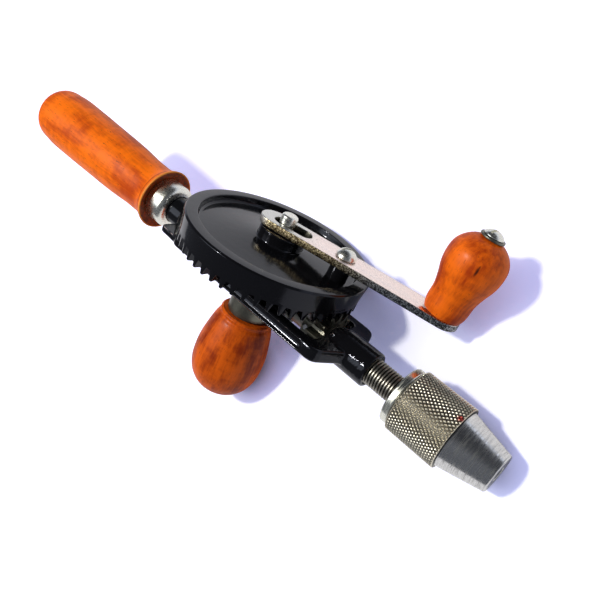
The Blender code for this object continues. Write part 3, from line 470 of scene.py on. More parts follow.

# %% [markdown]
# ## Bare metals
#
# The bright fittings are plated, and worn to a soft shine. The chuck is turned steel that still shows the
# fine rings of the lathe. The crank's bar is ground flat, pale and pitted; its sawn sides are dark, with
# bare steel specks painted bright as glints and a painted highlight on the end by the hub. A smudge of red
# sits on the knurled sleeve. One function makes the turned and ground metals, and adds rings, pits, grooves
# darkened with dirt and painted shade, and the smudge only where asked for. A second one makes the sawn
# sides.

# %% Make the metals
metal_shade_share = 0.82
metal_grain_size = 0.45
metal_grain_depth = 0.002
grain_tone_edges = (0.35, 0.65)
grain_shine_edges = (0.3, 0.7)
grain_shine_shares = (0.8, 1.25)
ring_width = 0.42
ring_stretch = 0.07
ring_depth = 0.0075
ring_tone_edges = (0.55, 0.35)
ring_shine_edges = (0.62, 0.30)
ring_shine_shares = (0.7, 2.2)
pit_size = 0.8
pit_edges = (0.72, 0.64)
pit_depth = 0.03
pit_colour = (0.07, 0.05, 0.045)
# Grooves are darkened with dirt and painted shade: its colour, and where it starts and is full.
groove_dirt_and_shade_colour = (0.030, 0.027, 0.022)
groove_dirt_and_shade_starts = 0.30
groove_dirt_and_shade_full = 0.75
hub_end_tone = (0.60, 0.60, 0.56)
hub_tone_edges = (4, 17)
smudge_colour = (0.46, 0.075, 0.060)
smudge_place = Vector((-12.2, -7.0, 107.0))
smudge_reach = 1.7
smudge_fade = 1.0
smudge_raggedness = 2.0


def metal(name, axes, colour, roughness, rings=0.0, pits=0.0, groove_dirt_and_shade=0.0, hub_tone=None, smudged=False):
    """Bare metal, with shares of turning rings across Z of the axes, of pits, and of dirt and painted shade
    in its grooves.

    It can take another tone towards the hub, and have a smudge of red."""
    material, tree, shader = new_material(name)
    place = place_on(tree, axes)
    grain = noise(tree, place, 1 / metal_grain_size, detail=4.0, roughness=0.65, seed=2.0)
    shaded = [channel * metal_shade_share for channel in colour]
    smooth, rough = [roughness * share for share in grain_shine_shares]
    shine = between(tree, grain, *grain_shine_edges, smooth, rough)
    tone = mix_colours(tree, between(tree, grain, *grain_tone_edges), shaded, colour)
    relief = bump(tree, grain, metal_grain_depth)
    if hub_tone:
        along = add_node(tree, "ShaderNodeSeparateXYZ", {0: place}).outputs["X"]
        tone = mix_colours(tree, between(tree, along, *hub_tone_edges), hub_tone, tone)
    if rings:
        drawn_round = place_on(tree, axes, (ring_stretch, ring_stretch, 1))
        turning = noise(tree, drawn_round, 1 / ring_width, roughness=0.7, seed=8.0)
        ring_tone = [channel * (1 - rings) for channel in colour]
        tone = mix_colours(tree, between(tree, turning, *ring_tone_edges), tone, ring_tone)
        relief = bump(tree, turning, ring_depth, relief)
        smooth, rough = [roughness * share for share in ring_shine_shares]
        shine = between(tree, turning, *ring_shine_edges, smooth, rough)
    if pits:
        lumps = noise(tree, place, 1 / pit_size, roughness=0.6, seed=6.0)
        whole = between(tree, lumps, *pit_edges)
        pitted = calculate(tree, "MULTIPLY", calculate(tree, "SUBTRACT", 1.0, whole), pits)
        tone = mix_colours(tree, pitted, tone, pit_colour)
        relief = bump(tree, whole, pit_depth, relief)
    # Grooves get darker: dirt, and painted shade where grooves fall dark.
    if groove_dirt_and_shade:
        groove = add_node(tree, "ShaderNodeAttribute", attribute_name="groove").outputs["Fac"]
        dirty_and_shaded = between(tree, groove, groove_dirt_and_shade_starts, groove_dirt_and_shade_full, 0.0, groove_dirt_and_shade)
        tone = mix_colours(tree, dirty_and_shaded, tone, groove_dirt_and_shade_colour)
    if smudged:
        away = away_from(tree, place, smudge_place)
        ragged = calculate(tree, "MULTIPLY_ADD", grain, smudge_raggedness, away)
        smudge = between(tree, ragged, smudge_reach + smudge_fade, smudge_reach)
        tone = mix_colours(tree, smudge, tone, smudge_colour)
    fill(tree, shader, Base_Color=tone, Normal=relief, Metallic=1.0, Roughness=shine)
    return material


plated_steel = metal("polished_steel", spindle, (0.84, 0.83, 0.74), 0.27)
turned_steel = metal("dull_steel_turned", spindle, (0.72, 0.71, 0.68), 0.19, rings=0.40)
collar_steel = metal("dull_steel_collar", spindle, (0.92, 0.92, 0.80), 0.24, rings=0.25)
bar_steel = metal("dull_steel_bar", crank, (1.0, 0.84, 0.77), 0.24, pits=0.8, hub_tone=hub_end_tone)
# The thread's and the knurl's grooves are darkened with dirt and painted shade.
thread_steel = metal("dull_steel_thread", spindle, (0.36, 0.34, 0.29), 0.36, groove_dirt_and_shade=0.90)
# A dark greasy steel that also stands in as painted shade: under the bar, in its slot, and on pieces tucked
# under others.
greasy_shaded_steel = metal("steel_greasy_and_shade_darkened", spindle, (0.18, 0.175, 0.14), 0.38)
knurl_steel = metal("dull_steel_knurled", spindle, (0.97, 0.90, 0.72), 0.38, groove_dirt_and_shade=0.86, smudged=True)
print("seven metals")

# %% Saw the bar's sides
glint_size = 0.55
glint_starts = 0.48
glint_full = 0.57
hub_side_end = 18
outer_side_start = 52
hub_glint = (0.78, 0.65, 0.38)
outer_glint = (0.42, 0.44, 0.46)
hub_ground = (0.085, 0.060, 0.031)
outer_ground = (0.045, 0.045, 0.048)
# Where and how pale the bar's end by the hub is painted as a highlight.
end_highlight_reach = (-5, -10)
end_highlight_colour = (0.95, 0.92, 0.86)
sawn_roughness = 0.38
sawn_depth = 0.10


def sawn_steel(name, axes):
    """Dark sides with steel specks painted bright as glints, yellow near the hub and grey further out along
    X, and a painted end highlight.
    """
    material, tree, shader = new_material(name)
    place = place_on(tree, axes)
    # Specks of bare steel, painted bright to stand for glints.
    speckle = noise(tree, place, 1 / glint_size, roughness=0.75, seed=4.0)
    along = add_node(tree, "ShaderNodeSeparateXYZ", {0: place}).outputs["X"]
    outer = between(tree, along, hub_side_end, outer_side_start)
    glint = mix_colours(tree, outer, hub_glint, outer_glint)
    ground = mix_colours(tree, outer, hub_ground, outer_ground)
    # The end by the hub is painted pale as a highlight.
    painted_highlight = between(tree, along, *end_highlight_reach)
    glint = mix_colours(tree, painted_highlight, glint, end_highlight_colour)
    bright = calculate(tree, "MAXIMUM", painted_highlight, between(tree, speckle, glint_starts, glint_full))
    fill(tree, shader, Base_Color=mix_colours(tree, bright, ground, glint), Metallic=1.0)
    fill(tree, shader, Roughness=sawn_roughness, Normal=bump(tree, speckle, sawn_depth))
    return material


edge_steel = sawn_steel("dull_steel_edge", crank)
print("sawn sides for the bar")

# %% [markdown]
# ## Helpers for shapes
#
# Most pieces are turned on a lathe, so an outline is turned about an axis. Each outline is a list of
# corners, and a corner can have a radius: rounding is what tells a real piece from a drawing. A flat
# plate comes from outlines too, as a filled curve, and slots and bores are cut with a Boolean.

# %% Draw outlines
arc_step = math.radians(12)


def rounded(corners, closed=True):
    """The outline through corners, each (a, b) or (a, b, radius), with an arc at each radius."""
    points = []
    for index, corner in enumerate(corners):
        here = Vector(corner[:2])
        at_end = not closed and index in (0, len(corners) - 1)
        if len(corner) < 3 or at_end:
            points.append(here)
            continue
        back = (Vector(corners[index - 1][:2]) - here).normalized()
        ahead = (Vector(corners[(index + 1) % len(corners)][:2]) - here).normalized()
        half = back.angle(ahead) / 2
        centre = here + (back + ahead).normalized() * (corner[2] / math.sin(half))
        first = here + back * (corner[2] / math.tan(half)) - centre
        last = here + ahead * (corner[2] / math.tan(half)) - centre
        start = math.atan2(first.y, first.x)
        turn = math.remainder(math.atan2(last.y, last.x) - start, math.tau)
        steps = max(2, math.ceil(abs(turn) / arc_step))
        for step in range(steps + 1):
            angle = start + turn * step / steps
            points.append(centre + corner[2] * Vector((math.cos(angle), math.sin(angle))))
    return points


def through(stations, steps=7):
    """A smooth line through stations, with steps short lines between each two."""
    points = np.array(stations, float)
    reach = np.append(0, np.cumsum(np.linalg.norm(np.diff(points, axis=0), axis=1)))
    slope = np.gradient(points, reach, axis=0)
    line = [Vector(points[0])]
    for index in range(len(points) - 1):
        span = reach[index + 1] - reach[index]
        for step in range(1, steps + 1):
            share = step / steps
            rise = share * share * (3 - 2 * share)
            leave = share * (1 - share) ** 2 * span
            arrive = share * share * (share - 1) * span
            point = points[index] * (1 - rise) + points[index + 1] * rise
            line.append(Vector(point + slope[index] * leave + slope[index + 1] * arrive))
    return line


def scaled(shares, length, radius, start=0.0, direction=1):
    """Stations (radius, height) from shares of a length and of a radius."""
    return [(share[1] * radius, start + direction * share[0] * length) for share in shares]


def circle(centre, radius, steps=48):
    """The outline of a hole whose centre is on X."""
    angles = [math.tau * step / steps for step in range(steps)]
    return [(centre + radius * math.cos(angle), radius * math.sin(angle)) for angle in angles]


print("outlines can be drawn")

# %% Turn outlines
pole_size = 0.000001


def turned(outline, steps=128, ring=True):
    """An outline of (radius, height) turned about Z: a closed ring, or a line from pole to pole."""
    work = bmesh.new()
    rings = []
    for radius, height in outline:
        if radius < pole_size:
            rings.append([work.verts.new((0, 0, height))] * steps)
            continue
        angles = [math.tau * step / steps for step in range(steps)]
        rings.append([work.verts.new((radius * math.cos(a), radius * math.sin(a), height)) for a in angles])
    pairs = list(zip(rings, rings[1:]))
    if ring:
        pairs.append((rings[-1], rings[0]))
    for first, second in pairs:
        for step in range(steps):
            after = (step + 1) % steps
            corners = [first[step], first[after], second[after], second[step]]
            corners = list(dict.fromkeys(corners))
            if len(corners) > 2:
                work.faces.new(corners)
    return finished_mesh(work)


def finished_mesh(work):
    """A work mesh as a mesh, closed, with its faces outwards."""
    bmesh.ops.recalc_face_normals(work, faces=work.faces)
    mesh = bpy.data.meshes.new("shape")
    work.to_mesh(mesh)
    work.free()
    return mesh


print("outlines can be turned")

# %% Make plates and blocks, and cut
merge_distance = 0.00001


def plate(outlines, bottom, top, edge=0.0, edge_steps=2):
    """A flat plate across Z, whose first outline is its rim and whose others are holes."""
    curve = bpy.data.curves.new("plate", "CURVE")
    curve.dimensions = "2D"
    curve.fill_mode = "BOTH"
    curve.extrude = (top - bottom) / 2 - edge
    curve.bevel_depth = edge
    curve.bevel_resolution = edge_steps
    curve.offset = -edge
    for outline in outlines:
        spline = curve.splines.new("POLY")
        spline.points.add(len(outline) - 1)
        for point, place in zip(spline.points, outline):
            point.co = (place[0], place[1], 0, 1)
        spline.use_cyclic_u = True
    mesh = evaluated(bpy.data.objects.new("plate", curve))
    mesh.transform(Matrix.Translation((0, 0, (top + bottom) / 2)))
    return mesh


def evaluated(source):
    """The plain mesh that an object's curve or modifiers make, with its doubles merged."""
    bpy.context.scene.collection.objects.link(source)
    bpy.context.view_layer.update()
    graph = bpy.context.evaluated_depsgraph_get()
    mesh = bpy.data.meshes.new_from_object(source.evaluated_get(graph))
    bpy.data.objects.remove(source)
    work = bmesh.new()
    work.from_mesh(mesh)
    bmesh.ops.remove_doubles(work, verts=work.verts, dist=merge_distance)
    return finished_mesh(work)


def cut_away(mesh, *cutters):
    """A mesh less some others."""
    piece = bpy.data.objects.new("cut", mesh)
    tools = []
    for cutter in cutters:
        tool = bpy.data.objects.new("cutter", cutter)
        bpy.context.scene.collection.objects.link(tool)
        modifier = piece.modifiers.new("cut", "BOOLEAN")
        modifier.operation = "DIFFERENCE"
        modifier.solver = "EXACT"
        modifier.object = tool
        tools.append(tool)
    result = evaluated(piece)
    for tool in tools:
        bpy.data.objects.remove(tool)
    return result


def block(low, high):
    """A box between two corners."""
    work = bmesh.new()
    size = Vector(high) - Vector(low)
    middle = Matrix.Translation((Vector(high) + Vector(low)) / 2)
    bmesh.ops.create_cube(work, size=1, matrix=middle @ Matrix.Diagonal((*size, 1)))
    return finished_mesh(work)


print("plates and blocks can be made and cut")

# %% [markdown]
# ## Putting a piece in its place
#
# The place of a piece is in its mesh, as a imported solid's is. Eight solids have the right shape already
# and only get a worked material.

# %% Place pieces
smooth_angle = math.radians(32)


def dress(name, mesh, axes, material, body, node=None):
    """A piece of the drill from a mesh drawn in the given axes."""
    mesh.name = name
    mesh.transform(axes)
    mesh.materials.clear()
    mesh.materials.append(material)
    mesh.shade_smooth()
    mesh.set_sharp_from_angle(angle=smooth_angle)
    piece = bpy.data.objects.new(name, mesh)
    bpy.context.scene.collection.objects.link(piece)
    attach(piece, body)
    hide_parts(node or name)
    low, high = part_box(node or name)
    size = [round(side / millimetre, 1) for side in high - low]
    print(name, "stands in a box of", size, "mm")
    return piece


def repaint(material, *names):
    """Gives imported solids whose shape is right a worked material."""
    for name in names:
        mesh = frame["nodes"][name].data
        mesh.materials.clear()
        mesh.materials.append(material)
    print(material.name, "on", *names)


repaint(plated_steel, "thrust_ball")
# The pinion under the wheel gets the darker steel as painted shade.
repaint(greasy_shaded_steel, "drive_pinion")
repaint(turned_steel, "axle_washer", "side_handle_stud", "pinion_pin", "jaw_nut_front", "jaw_nut_back")
repaint(thread_steel, "front_bush")
seat_gap = 0.0003
running_gap = 0.0001
press_gap = 0.0001

# %% [markdown]
# ## The main handle
#
# The handle is one turned piece. Its front end has a sharp lip round a dished face of end grain, and the
# ferrule sits in the dish. A smooth line through a few measured stations gives its long curve.

# %% Turn the main handle
handle_front = -0.0714
handle_length = 0.0998
handle_radius = 0.0153
handle_lip_radius = 0.0156
handle_lip_width = 0.0005
handle_dish_depth = 0.0015
handle_neck_radius = 0.0100
handle_neck_end = -0.0660
handle_lip_edge = 0.00024
dish_edge = handle_lip_radius - 1.5 * handle_lip_width
dish_edge_drop = 0.0001
ferrule_radius = 0.01106
tang_bore = 0.0036
handle_shares = (
    (0.015, 1.000), (0.056, 0.899), (0.145, 0.873), (0.300, 0.935), (0.547, 0.977), (0.717, 1.000),
    (0.880, 0.982), (0.955, 0.895), (0.988, 0.686), (1.000, 0.000),
)


def main_handle_mesh():
    back = handle_front - handle_dish_depth
    outside = through(scaled(handle_shares, handle_length, handle_radius, handle_front, -1))
    front = rounded([
        (tang_bore, handle_neck_end), (handle_neck_radius, handle_neck_end), (handle_neck_radius, back),
        (ferrule_radius + 2 * seat_gap, back), (dish_edge, handle_front - dish_edge_drop),
        (handle_lip_radius - handle_lip_width, handle_front, handle_lip_edge),
        (handle_lip_radius, handle_front, handle_lip_edge),
        (handle_lip_radius, handle_front - handle_lip_width),
    ], closed=False)
    bore_end = handle_front - handle_length / 2
    return turned(front + outside + [(0, bore_end), (tang_bore, bore_end)])


def mark_end_grain_and_lip_highlight(mesh, dish_foot, lip_foot, lip_radius):
    """An attribute that is 1 on the dished face, -1 on the lip round it, where a highlight is painted, and 0
    elsewhere.
    """
    marks = []
    for point in mesh.vertices:
        inside = point.co.xy.length < lip_radius + pole_size
        in_dish = inside and point.co.z > dish_foot
        on_lip = not inside and point.co.z > lip_foot
        marks.append(float(in_dish) - float(on_lip))
    mesh.attributes.new("stain", "FLOAT", "POINT").data.foreach_set("value", marks)
    return marks


handle_mesh = main_handle_mesh()
end_grain_and_highlight_marks = mark_end_grain_and_lip_highlight(
    handle_mesh, handle_front - 2 * handle_dish_depth, handle_front - 1.5 * handle_lip_width, dish_edge)
print(end_grain_and_highlight_marks.count(1), "points of end grain and", end_grain_and_highlight_marks.count(-1), "on the lip")
dress("main_handle_wood", handle_mesh, spindle, handle_wood, "frame", "main_handle")

# %% [markdown]
# ## The ferrule
#
# A pressed steel cup caps the wood where the iron tang goes in, and keeps it from splitting. Its round
# shoulder mirrors the whole room, so it needs a fine, evenly turned outline.

# %% Turn the ferrule
ferrule_shoulder = -0.0649
ferrule_front = -0.0616
ferrule_mouth_radius = 0.0072
ferrule_wall = 0.0008
ferrule_skirt = 0.0077


def handle_ferrule_mesh():
    skirt_end = ferrule_shoulder - ferrule_skirt
    inner = ferrule_radius - ferrule_wall
    depth = ferrule_front - ferrule_shoulder
    width = ferrule_radius - ferrule_mouth_radius
    outside = []
    inside = []
    steps = 12
    for step in range(steps + 1):
        angle = right_angle * step / steps
        radius = ferrule_mouth_radius + width * math.sin(angle)
        height = ferrule_shoulder + depth * math.cos(angle)
        outside.append((radius, height))
        inside.append((min(radius, inner), height - ferrule_wall))
    skirt = [(ferrule_radius, skirt_end), (inner, skirt_end)]
    return turned(outside + skirt + inside[::-1])


dress("handle_ferrule_cup", handle_ferrule_mesh(), spindle, plated_steel, "frame",
      "handle_ferrule")

# %% [markdown]
# ## The cast frame
#
# Sand casting leaves no sharp edge: corners are round and every inner corner has a fillet. The imported
# solid has the right planes, grooves and holes but crisp edges. So its mesh is copied and merged, finely
# turned shells are laid over the round neck and boss, and a voxel remesh melts them into one skin, which
# a smoothing then eases as paint and sand do. The solid itself stays unchanged.

# %% Cast the frame
voxel_size = 0.00042
casting_smooth_rounds = 7
casting_smooth_share = 0.5
neck_radius = 0.0069
neck_root_radius = 0.0036
neck_start = -0.0500
neck_end = -0.0632
boss_radius = 0.0080
boss_root_radius = 0.0062
boss_root_length = 0.0066
boss_end = 0.0667
boss_chamfer = 0.0008
bush_seat_radius = 0.0064
window_end = 0.0436
shell_proud = 0.00004
worn_bulges = (0.10, 0.22)
half_worn = 0.5


def node_copy(name, axes):
    """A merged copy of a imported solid's mesh, in the given axes."""
    mesh = frame["nodes"][name].data.copy()
    mesh.transform(axes.inverted())
    work = bmesh.new()
    work.from_mesh(mesh)
    bmesh.ops.remove_doubles(work, verts=work.verts, dist=merge_distance)
    return finished_mesh(work)


def round_shells():
    """Fine closed shells over the casting's neck and boss."""
    neck = turned(rounded([
        (0, neck_start + neck_radius), (neck_root_radius, neck_start + neck_radius),
        (neck_radius + shell_proud, neck_start, neck_radius), (neck_radius + shell_proud, neck_end),
        (0, neck_end),
    ], closed=False), ring=False)
    boss = turned(rounded([
        (bush_seat_radius, boss_end), (boss_radius + shell_proud, boss_end, boss_chamfer),
        (boss_radius + shell_proud, window_end + boss_root_length, boss_radius),
        (boss_root_radius, window_end), (bush_seat_radius - seat_gap, window_end),
    ], closed=True))
    along_spindle = Matrix.Rotation(right_angle, 4, "Y")
    return [(neck, along_spindle), (boss, along_spindle)]


def joined(meshes):
    """Several (mesh, matrix) as one mesh."""
    work = bmesh.new()
    for mesh, matrix in meshes:
        mesh.transform(matrix)
        work.from_mesh(mesh)
    return finished_mesh(work)


def frame_mesh():
    skins = [(node_copy("frame", drill), Matrix())] + round_shells()
    casting = bpy.data.objects.new("casting", joined(skins))
    remesh = casting.modifiers.new("melt", "REMESH")
    remesh.mode = "VOXEL"
    remesh.voxel_size = voxel_size
    smooth = casting.modifiers.new("ease", "SMOOTH")
    smooth.iterations = casting_smooth_rounds
    smooth.factor = casting_smooth_share
    return evaluated(casting)


def mark_wear(mesh, low, high):
    """An attribute that grows from 0 to 1 where the skin bulges, from low to high."""
    count = len(mesh.vertices)
    places = np.empty(count * 3)
    mesh.vertices.foreach_get("co", places)
    places = places.reshape(-1, 3)
    normals = np.empty(count * 3)
    mesh.vertex_normals.foreach_get("vector", normals)
    normals = normals.reshape(-1, 3)
    ends = np.empty(len(mesh.edges) * 2, int)
    mesh.edges.foreach_get("vertices", ends)
    ends = ends.reshape(-1, 2)
    bulge = np.zeros(count)
    number = np.zeros(count)
    for here, there in ((0, 1), (1, 0)):
        reach = places[ends[:, there]] - places[ends[:, here]]
        length = np.linalg.norm(reach, axis=1)
        fall = -np.einsum("ij,ij->i", reach, normals[ends[:, here]]) / length
        np.add.at(bulge, ends[:, here], fall)
        np.add.at(number, ends[:, here], 1)
    share = np.clip((bulge / number - low) / (high - low), 0, 1)
    mesh.attributes.new("wear", "FLOAT", "POINT").data.foreach_set("value", share.astype(np.float32))
    return share


casting = frame_mesh()
wear = mark_wear(casting, *worn_bulges)
worn_share = float((wear > half_worn).mean())
print("the casting has", len(casting.polygons), "faces, and", round(100 * worn_share, 1), "% of it is worn")
dress("frame_casting", casting, drill, frame_enamel, "frame", "frame")

# %% [markdown]
# ## The crown wheel
#
# The wheel is a dished casting: a broad flat rim, a web that rises like a low cone, and a plain hub. The
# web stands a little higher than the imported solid's, as the mirrored bar in the photograph shows it. A
# round pad on it carries the crank's clamp screw. The 52 teeth point down at the pinion. Every tooth
# follows one rule, so Geometry Nodes make them: the rim's lower end is moved up between the teeth by an
# amount that depends on the angle alone.

# %% Turn the wheel's body
wheel_radius = 0.0435
wheel_lip_height = 0.0221
wheel_taper = 0.001
wheel_lip_width = 0.0059
wheel_lip_bevel = 0.0006
wheel_lip_drop = 0.0008
wheel_wall_slope = 0.0006
web_height = 0.0186
web_hub_height = 0.0207
web_bottom = 0.0127
web_fillet = 0.0014
hub_radius = 0.0106
hub_height = 0.0258
hub_foot_radius = 0.0070
hub_foot_height = 0.0048
hub_fillet = 0.0010
wheel_edge = 0.0005
wheel_bore = 0.0031
wheel_teeth = 52
columns_per_tooth = 10
tooth_root_height = 0.0124
tooth_depth = 0.0041
tooth_ring_inner_radius = 0.0358
tooth_tip_share = 0.12
tooth_root_share = 0.27
tooth_ring_slack = 0.0002
clamp_reach = 0.0295
clamp_pad_radius = 0.0047
clamp_bore = 0.0025
clamp_shank_depth = 0.0110


def wheel_body():
    lip_inner = wheel_radius - wheel_lip_width
    tip_height = tooth_root_height - tooth_depth
    foot_radius = wheel_radius - wheel_taper
    return turned(rounded([
        (wheel_bore, hub_height), (hub_radius, hub_height, wheel_edge),
        (hub_radius, web_hub_height, hub_fillet),
        (lip_inner - wheel_wall_slope, web_height, web_fillet), (lip_inner, wheel_lip_height, wheel_edge),
        (wheel_radius - wheel_lip_bevel, wheel_lip_height, wheel_edge),
        (wheel_radius, wheel_lip_height - wheel_lip_drop, wheel_edge),
        (foot_radius, tooth_root_height + 2 * wheel_edge), (foot_radius, tooth_root_height + wheel_edge),
        (foot_radius, tip_height, wheel_edge / 2),
        (tooth_ring_inner_radius, tip_height, wheel_edge / 2),
        (tooth_ring_inner_radius, web_bottom, hub_fillet),
        (hub_foot_radius, web_bottom, hub_fillet), (hub_foot_radius, hub_foot_height),
        (wheel_bore, hub_foot_height),
    ]), wheel_teeth * columns_per_tooth)


body_mesh = wheel_body()
print("the wheel's body has", len(body_mesh.polygons), "faces")

# %% [markdown]
# A Geometry Nodes tree is built like a material's. new_tree makes one with named inputs, end_tree ends
# it, and grown runs it on a mesh and hands back a plain mesh. The teeth, the thread and the knurling all
# depend on how far round Z a point is, and polar works that out.

# %% Helpers for Geometry Nodes


def new_tree(name, inputs):
    """A tree with a geometry input, and named inputs with their values."""
    tree = bpy.data.node_groups.new(name, "GeometryNodeTree")
    tree.interface.new_socket("Geometry", in_out="INPUT", socket_type="NodeSocketGeometry")
    for label, value in inputs.items():
        kind = "NodeSocketInt" if isinstance(value, int) else "NodeSocketFloat"
        tree.interface.new_socket(label, in_out="INPUT", socket_type=kind)
    tree.interface.new_socket("Geometry", in_out="OUTPUT", socket_type="NodeSocketGeometry")
    return tree, add_node(tree, "NodeGroupInput").outputs


def marked(tree, geometry, name, value):
    """The geometry with a value stored on its points under a name."""
    inputs = {"Geometry": geometry, "Name": name, "Value": value}
    options = {"data_type": "FLOAT", "domain": "POINT"}
    return add_node(tree, "GeometryNodeStoreNamedAttribute", inputs, **options).outputs[0]


def end_tree(tree, geometry, material):
    """Ends a tree with real geometry that has a material."""
    real = add_node(tree, "GeometryNodeRealizeInstances", {"Geometry": geometry}).outputs[0]
    painted = add_node(tree, "GeometryNodeSetMaterial", {"Geometry": real, "Material": material})
    add_node(tree, "NodeGroupOutput", {"Geometry": painted.outputs[0]})


def grown(mesh, tree, inputs):
    """The plain mesh that a tree makes of a mesh."""
    source = bpy.data.objects.new(tree.name, mesh)
    modifier = source.modifiers.new(tree.name, "NODES")
    modifier.node_group = tree
    for item in tree.interface.items_tree:
        if item.in_out == "INPUT" and item.name in inputs:
            modifier[item.identifier] = inputs[item.name]
    return evaluated(source)


def polar(tree):
    """Each point's place, its angle round Z in turns, and its radius."""
    place = add_node(tree, "GeometryNodeInputPosition").outputs[0]
    parts = add_node(tree, "ShaderNodeSeparateXYZ", {0: place}).outputs
    angle = calculate(tree, "DIVIDE", calculate(tree, "ARCTAN2", parts["Y"], parts["X"]), math.tau)
    flat = add_node(tree, "ShaderNodeVectorMath", {0: place, 1: (1, 1, 0)}, operation="MULTIPLY").outputs[0]
    radius = add_node(tree, "ShaderNodeVectorMath", {0: flat}, operation="LENGTH").outputs["Value"]
    return parts, angle, radius


print("Geometry Nodes can be built and run")

# %% Cut the wheel's teeth
tooth_inputs = {
    "Teeth": wheel_teeth, "Tooth depth": tooth_depth, "Root height": tooth_root_height,
    "Inner radius": tooth_ring_inner_radius, "Tip share": tooth_tip_share, "Root share": tooth_root_share,
}


def teeth_tree():
    """Moves the rim's lower end up to the roots between the teeth."""
    tree, given = new_tree("crown_teeth", tooth_inputs)
    parts, angle, radius = polar(tree)
    phase = calculate(tree, "FRACT", calculate(tree, "MULTIPLY", angle, given["Teeth"]))
    off_middle = calculate(tree, "ABSOLUTE", calculate(tree, "SUBTRACT", phase, 0.5))
    from_tooth = calculate(tree, "SUBTRACT", 0.5, off_middle)
    raised = add_node(tree, "ShaderNodeMapRange", {
        "Value": from_tooth, "From Min": given["Tip share"], "From Max": given["Root share"],
    }, interpolation_type="LINEAR").outputs["Result"]
    below = calculate(tree, "SUBTRACT", given["Root height"], parts["Z"])
    share = calculate(tree, "DIVIDE", below, given["Tooth depth"])
    ring_start = calculate(tree, "SUBTRACT", given["Inner radius"], tooth_ring_slack)
    on_ring = calculate(tree, "GREATER_THAN", radius, ring_start)
    lower = calculate(tree, "GREATER_THAN", share, 0.0)
    lift = calculate(tree, "MULTIPLY", calculate(tree, "MULTIPLY", raised, share), given["Tooth depth"])
    offset = add_node(tree, "ShaderNodeCombineXYZ", {"Z": lift}).outputs[0]
    chosen = calculate(tree, "MULTIPLY", on_ring, lower)
    inputs = {"Geometry": given["Geometry"], "Selection": chosen, "Offset": offset}
    moved = add_node(tree, "GeometryNodeSetPosition", inputs).outputs[0]
    end_tree(tree, moved, wheel_enamel)
    return tree


wheel = grown(body_mesh, teeth_tree(), tooth_inputs)
wheel.transform(Matrix.Rotation(-crank_angle, 4, "Z"))
pad = turned(rounded([
    (0, hub_height), (clamp_pad_radius, hub_height, wheel_edge), (clamp_pad_radius, web_height - wheel_edge),
    (0, web_height - wheel_edge),
], closed=False), steps=48, ring=False)
wheel_parts = joined([(wheel, Matrix()), (pad, Matrix.Translation((clamp_reach, 0, 0)))])
dress("gear_wheel_casting", wheel_parts, crank, wheel_enamel, "crank", "gear_wheel")

# %% [markdown]
# ## The crank
#
# A flat ground bar, slotted at the hub to clear the axle's head, is clamped to the wheel by a domed screw.
# A flat curve with a bevel makes the bar, whose faces then get one of three materials: ground on top,
# sawn at the sides, and greasy steel darkened as painted shade below and in the slot. The screw's slot is
# cut out of a turned head.

# %% Make the bar
crank_width = 0.0150
crank_thickness = 0.0033
crank_inner_reach = 0.0123
crank_outer_reach = 0.0838
crank_edge = 0.0004
slot_start = -0.0060
slot_end = 0.0125
slot_width = 0.0081
slot_reach_share = 0.6
flat_face_share = 0.6
knob_reach = 0.0753
knob_spindle_radius = 0.0026
crank_bottom = hub_height + seat_gap
crank_top = crank_bottom + crank_thickness


def bar_mesh():
    half = crank_width / 2
    reach = slot_width / 2
    rim = rounded([
        (-crank_inner_reach, -half, half), (crank_outer_reach, -half, half),
        (crank_outer_reach, half, half), (-crank_inner_reach, half, half),
    ])
    slot = rounded([
        (slot_start, -reach, reach), (slot_end, -reach, reach),
        (slot_end, reach, reach), (slot_start, reach, reach),
    ])
    clamp_hole = circle(clamp_reach, clamp_bore)
    pin_hole = circle(knob_reach, knob_spindle_radius + press_gap + crank_thickness * math.sin(knob_lean))
    return plate([rim, slot, clamp_hole, pin_hole], crank_bottom, crank_top, crank_edge)


bar = dress("crank_bar", bar_mesh(), crank, bar_steel, "crank", "crank_arm")
bar.data.materials.append(edge_steel)
bar.data.materials.append(greasy_shaded_steel)
to_crank = crank.inverted()
# Faces below the bar and in its slot get the darker greasy steel as painted shade.
for face in bar.data.polygons:
    rise = face.normal.dot(axle_direction)
    place = to_crank @ face.center
    near_slot = abs(place.y) < slot_width * slot_reach_share
    in_slot = near_slot and slot_start - seat_gap < place.x < slot_end + seat_gap
    if rise > flat_face_share:
        face.material_index = 0
    elif rise < -flat_face_share or in_slot:
        face.material_index = 2
    else:
        face.material_index = 1

# %% Turn the clamp screw and the axle
screw_slot_width = 0.0011
screw_slot_depth = 0.0012
clamp_slot_turn = math.radians(35)
clamp_shank_radius = 0.0024
clamp_head_radius = 0.0046
clamp_head_height = 0.0039
clamp_head_rim_height = 0.0009
axle_radius = 0.0030
axle_head_radius = 0.0037
axle_head_height = 0.0336
axle_head_edge = 0.0012
head_edge = 0.0003


def dome(radius, height, rim, steps=10):
    """The outline of a domed head from its pole to its rim."""
    rise = height - rim
    sphere = (radius ** 2 + rise ** 2) / (2 * rise)
    widest = math.asin(radius / sphere)
    angles = [widest * step / steps for step in range(steps + 1)]
    return [(sphere * math.sin(angle), height - sphere * (1 - math.cos(angle))) for angle in angles]


